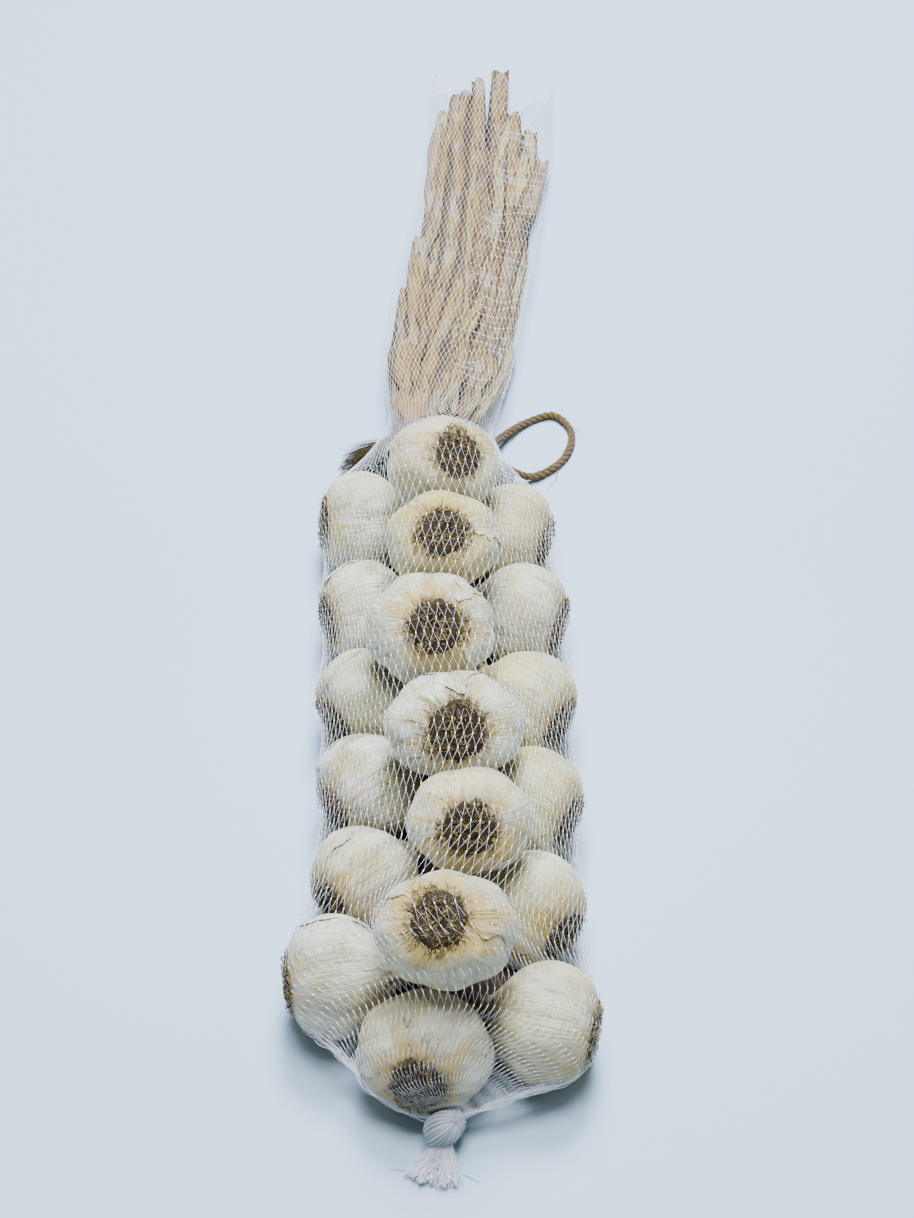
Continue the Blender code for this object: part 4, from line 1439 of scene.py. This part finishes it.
def knit(net):
    """The knots' places: every second row is shifted by half a diamond, and the rows drift a little round the
    braid. The sleeve's open end is ragged."""
    knots = np.empty_like(net)
    for row, ring in enumerate(net):
        column = np.arange(CELLS) + 0.8 * math.sin(0.045 * row) + 0.5 * (row % 2)
        low = np.floor(column).astype(int)
        share = (column - low)[:, None]
        knots[row] = ring[low % CELLS] * (1 - share) + ring[(low + 1) % CELLS] * share
    knots = stay_off_bulbs(knots.reshape(-1, 3)).reshape(knots.shape)
    # On the right of the sleeve the rows lie in pairs, which sag a little.
    along = knots[:, 0, 1] - TIE[1]
    half = 0.5 * (knots[:, :, 0].max(axis=1) - knots[:, :, 0].min(axis=1))[:, None]
    right = np.clip((knots[:, :, 0] - knots[:, :, 0].mean(axis=1)[:, None]) / half, 0, 1)
    paired = np.interp(along, (0.01, 0.04, 0.20, 0.27), (0, 1, 1, 0.5))[:, None] * np.clip(4 * right, 0, 1)
    uneven = np.array(
        [
            [noise.noise((0.21 * row, 0.16 * column, 4.0)) for column in range(CELLS)]
            for row in range(len(net))
        ]
    )
    drawn = (0.72 + 0.5 * uneven) * SLEEVE_STEP * (np.arange(len(net)) % 2)[:, None]
    knots[:, :, 1] -= paired * (drawn + 0.004 * np.sin(math.pi * right) + 0.005 * uneven)
    ragged = np.interp(np.arange(len(net)), (len(net) - 7, len(net) - 1), (0, 1))[:, None]
    torn = np.array([noise.noise((0.9 * column, 3.3, 0.0)) for column in range(CELLS)])
    knots[:, :, 1] += ragged * (0.010 * torn - 0.16 * (knots[:, :, 0] - knots[:, :, 0].mean()))
    knots[:, :, 2] += ragged * 0.004 * np.roll(torn, 9)
    knots[:, :, 2] = np.maximum(knots[:, :, 2], 0.0005)
    return knots


def strand_ends(knots, long, first, last):
    """Where each strand starts on one row's knots and ends on the next row's two nearest knots."""
    starts, ends = [], []
    columns = np.arange(CELLS)
    for row in range(first, min(last, len(knots) - 1)):
        for shift in (-1, 0) if row % 2 == 0 else (0, 1):
            far = (columns + shift) % CELLS
            starts.append(knots[row] + long[row] * KNOT_LENGTH * 0.35)
            ends.append(knots[row + 1][far] - long[row + 1][far] * KNOT_LENGTH * 0.35)
    return np.vstack(starts), np.vstack(ends)


def build_net():
    knots = knit(settle_net())
    bpy.ops.object.select_all(action="DESELECT")
    bpy.ops.mesh.primitive_uv_sphere_add(segments=6, ring_count=3, radius=0.5)
    knot_master = bpy.context.object
    bpy.ops.object.select_all(action="DESELECT")
    bpy.ops.mesh.primitive_cylinder_add(vertices=3, radius=0.5, depth=1.0)
    strand_master = bpy.context.object

    long = np.gradient(knots, axis=0)
    apart = np.linalg.norm(long, axis=2)[..., None]
    long /= apart
    side = np.roll(knots, -1, axis=1) - np.roll(knots, 1, axis=1)
    out = np.cross(side, long)
    out /= np.maximum(np.linalg.norm(out, axis=2)[..., None], 1e-9)
    wide = np.cross(long, out)
    thin = np.clip(np.linalg.norm(side, axis=2) / 0.0052, 0.25, 1.0)[..., None]
    shorter = np.clip(apart / 0.0045, 0.5, 1) * np.sqrt(thin)

    marks = np.linspace(0, len(knots), 5).astype(int)
    for name, first, last in zip(("net_foot", "net_middle", "net_shoulders", "net_sleeve"), marks, marks[1:]):
        rows = slice(first, last)
        axes = np.stack(
            (
                wide[rows] * KNOT_WIDTH * thin[rows],
                out[rows] * KNOT_WIDTH * 0.7 * thin[rows],
                long[rows] * KNOT_LENGTH * shorter[rows] * chance.uniform(0.85, 1.15, thin[rows].shape),
            ),
            axis=2,
        )
        beads = repeated(f"{name}_knots", knot_master, knots[rows].reshape(-1, 3), axes.reshape(-1, 3, 3))
        starts, ends = strand_ends(knots, long, first, last)
        gap = ends - starts
        way = gap / np.maximum(np.linalg.norm(gap, axis=1)[:, None], 1e-9)
        flat = np.cross(way, (0.31, 0.17, 0.93))
        flat /= np.linalg.norm(flat, axis=1)[:, None]
        axes = np.stack((flat * STRAND, np.cross(way, flat) * STRAND, gap), axis=1)
        threads = repeated(f"{name}_strands", strand_master, 0.5 * (starts + ends), axes)
        piece = joined(name, [beads, threads])
        finish_piece(piece, NETTING, "white_net", *(["net"] if name == "net_foot" else []))
    discard(knot_master)
    discard(strand_master)
    return knots


net_knots = build_net()


# The foot knot's long, deep and upper ways, its half sizes along them, and the way its dimple faces.
KNOT_LEAN = np.array(((0.80, 0.42, 0.43), (-0.49, 0.87, 0.06), (-0.35, -0.26, 0.90)))
KNOT_LEAN /= np.linalg.norm(KNOT_LEAN, axis=1)[:, None]
KNOT_HALVES = np.array((0.0086, 0.0064, 0.0068))
DIMPLE_WAY = np.array((0.74, -0.48, 0.47))


def on_knot(ball):
    """Points on a ball of radius one, as points of the knot, which leans up to the right."""
    return FOOT_KNOT + (ball * KNOT_HALVES) @ KNOT_LEAN


def ball_threads(count):
    """Threads laid over the knot like the ribs of a shell, all closing on the dimple at its upper right."""
    pole = DIMPLE_WAY / np.linalg.norm(DIMPLE_WAY)
    flat = np.cross(pole, (0, 1, 0))
    flat /= np.linalg.norm(flat)
    up = np.cross(pole, flat)
    routes = []
    for i in range(count):
        tip = np.linspace(0.03, 0.96, 17) * math.pi
        reach = 1.0 + 0.03 * math.sin(5 * TAU * i / count) + chance.normal(0, 0.014)
        dip = np.interp(tip, (0, 0.5, 1.1), (0.74, 0.88, 1.0))
        twist = TAU * (i + chance.normal(0, 0.12)) / count + 0.7 * (tip - 0.3) / math.pi
        ring = np.sin(tip)[:, None] * (np.cos(twist)[:, None] * flat + np.sin(twist)[:, None] * up)
        routes.append(on_knot((ring + np.cos(tip)[:, None] * pole) * (reach * dip)[:, None]))
    return routes


def tuft_threads():
    """The cut tuft: a wide curly fan to the left and a narrower strip on its right, on the floor."""
    neck = FOOT_KNOT + (-0.0014, -0.0050, -0.0044)
    routes = []
    for i in range(560):
        right = i % 3 == 0
        spread = chance.uniform(-0.15, 0.45) if right else -0.12 - 1.15 * chance.uniform(0, 1) ** 0.9
        middle = 0.0014 if right else -0.0010
        base = neck + np.array((middle + chance.normal(0, 0.0010), 0, chance.normal(0, 0.0010)))
        length = (0.0148 if right else 0.0142) * chance.uniform(0.55, 1.05)
        way = np.array((spread, -1.0, 0.0))
        way /= np.linalg.norm(way)
        side = np.array((way[1], -way[0], 0.0))
        pile = chance.uniform(0.0004, 0.0036)
        waves, phase = chance.uniform(1.5, 3.5), chance.uniform(0, TAU)
        share = np.linspace(0, 1, 9)
        curl = 0.0007 * np.sin(TAU * waves * share + phase) * share**0.5
        route = base + way * length * share[:, None] + side * curl[:, None]
        route[:, 2] = base[2] * (1 - share) ** 1.6 + pile * np.sin(0.5 * math.pi * share) ** 0.7
        route[:, 2] += 0.0004 * np.cos(TAU * waves * share + phase) * share
        routes.append(route)
    return routes


def spare_folds():
    """Folds of spare net that run in to the knot along both lower edges."""
    rows = np.arange(11)
    routes = []
    for find, folds, reach in ((np.argmin, 20, 0.0006), (np.argmax, 26, 0.0009)):
        edge = net_knots[rows, find(net_knots[rows, :, 0], axis=1)]
        edge[1:-1] = 0.25 * edge[:-2] + 0.5 * edge[1:-1] + 0.25 * edge[2:]
        edge = even_route(edge, 26)
        share = np.linspace(0, 1, 26)[:, None]
        for _ in range(folds):
            apart = chance.normal(0, reach, 3) * (0.5 + share)
            swing = np.sin(share * chance.uniform(14, 30) + chance.uniform(0, TAU))
            ripple = 0.0006 * swing * chance.normal(0, 1, 3)
            routes.append((edge + apart + ripple)[: int(chance.uniform(0.6, 1.0) * 26)])
    return routes


def build_foot_knot():
    """The net's gathered end: its knot wound of threads, the cut tuft, and a few cut threads beside it."""
    bpy.ops.object.select_all(action="DESELECT")
    bpy.ops.mesh.primitive_uv_sphere_add(segments=48, ring_count=24, radius=1.0)
    ball = bpy.context.object
    set_in_place(ball)
    core = places_of(ball.data)
    dimple = np.clip(core @ DIMPLE_WAY, 0, 1) ** 4
    move_to(ball.data, on_knot(core * (0.90 - 0.16 * dimple)[:, None]))
    # Painted shade: the ball inside the knot is drawn fully darkened.
    keep_values(ball.data, "fold", np.ones(len(core)))
    routes = ball_threads(112)
    tuft = tuft_threads()
    cut_threads = (((0.0060, -0.0135), (0.90, -0.34), 0.008), ((-0.0150, -0.0120), (-0.95, 0.2), 0.006))
    for start, way, length in cut_threads:
        base = np.array((FOOT_KNOT[0] + start[0], FOOT_KNOT[1] + start[1], 0.0006))
        step = np.array((*way, 0.0)) * length / 4
        tuft.append(np.array([base + step * k + (0, 0.0004 * math.sin(k * 1.4), 0) for k in range(5)]))
    for route in routes + tuft:
        route[:, 2] = np.maximum(route[:, 2], 0.0003)
    laid = strands("ball_threads", routes, 0.00036, 0.8, 1)
    # Painted shade on the knot's threads.
    keep_values(laid.data, "fold", 0.64 + 0.26 * np.sin(np.arange(len(laid.data.vertices)) * 0.013))
    loose = strands("tuft", tuft, 0.00032, 0.8)
    # Painted shade on the tuft, darkest close to the floor.
    keep_values(loose.data, "fold", np.interp(places_of(loose.data)[:, 2], (0.0005, 0.0030), (0.45, 0.0)))
    spare = strands("spare_net", spare_folds(), 0.00022)
    finish_piece(joined("foot_knot", [laid, ball, loose, spare]), NETTING, "white_net")


build_foot_knot()

for master in (ROPE, SKIN_MASTER, STRAW_MASTER):
    discard(master)

# ---------------------------------------------------------------- floor and light


def build_stage():
    bpy.ops.object.select_all(action="DESELECT")
    bpy.ops.mesh.primitive_plane_add(size=8.0, location=(0, 0, 0))
    floor = bpy.context.object
    floor.name = "floor"
    set_in_place(floor)
    material, tree, shader = new_material("floor", Roughness=0.55, Specular_IOR_Level=0.3)
    cloud = speckle(tree, object_places(tree), 1.6, 2.0)
    base = blend(tree, between(tree, cloud, 0.3, 0.7), colour(178, 199, 217), colour(184, 204, 221))
    tree.links.new(base, shader.inputs["Base Color"])
    floor.data.materials.append(material)

    world = bpy.data.worlds.new("studio")
    bpy.context.scene.world = world
    world.use_nodes = True
    background = world.node_tree.nodes["Background"]
    background.inputs["Color"].default_value = colour(255, 238, 206)
    background.inputs["Strength"].default_value = 0.08
    for name, place, size, power in (
        ("soft_light_back", (0.08, 0.68, 1.46), 0.5, 68.0),
        ("soft_light_above", (0.0, -0.08, 1.70), 0.7, 52.0),
        ("soft_light_left", (-1.2, 0.35, 1.10), 0.8, 2.0),
        ("soft_light_right", (1.25, 0.25, 1.05), 0.8, 2.0),
    ):
        data = bpy.data.lights.new(name, "AREA")
        data.shape = "SQUARE"
        data.size = size
        data.energy = power
        data.color = colour(228, 238, 255)[:3]
        light = bpy.data.objects.new(name, data)
        bpy.context.scene.collection.objects.link(light)
        light.location = place
        light.rotation_euler = (Vector((0, 0, 0.03)) - Vector(place)).to_track_quat("-Z", "Y").to_euler()


build_stage()
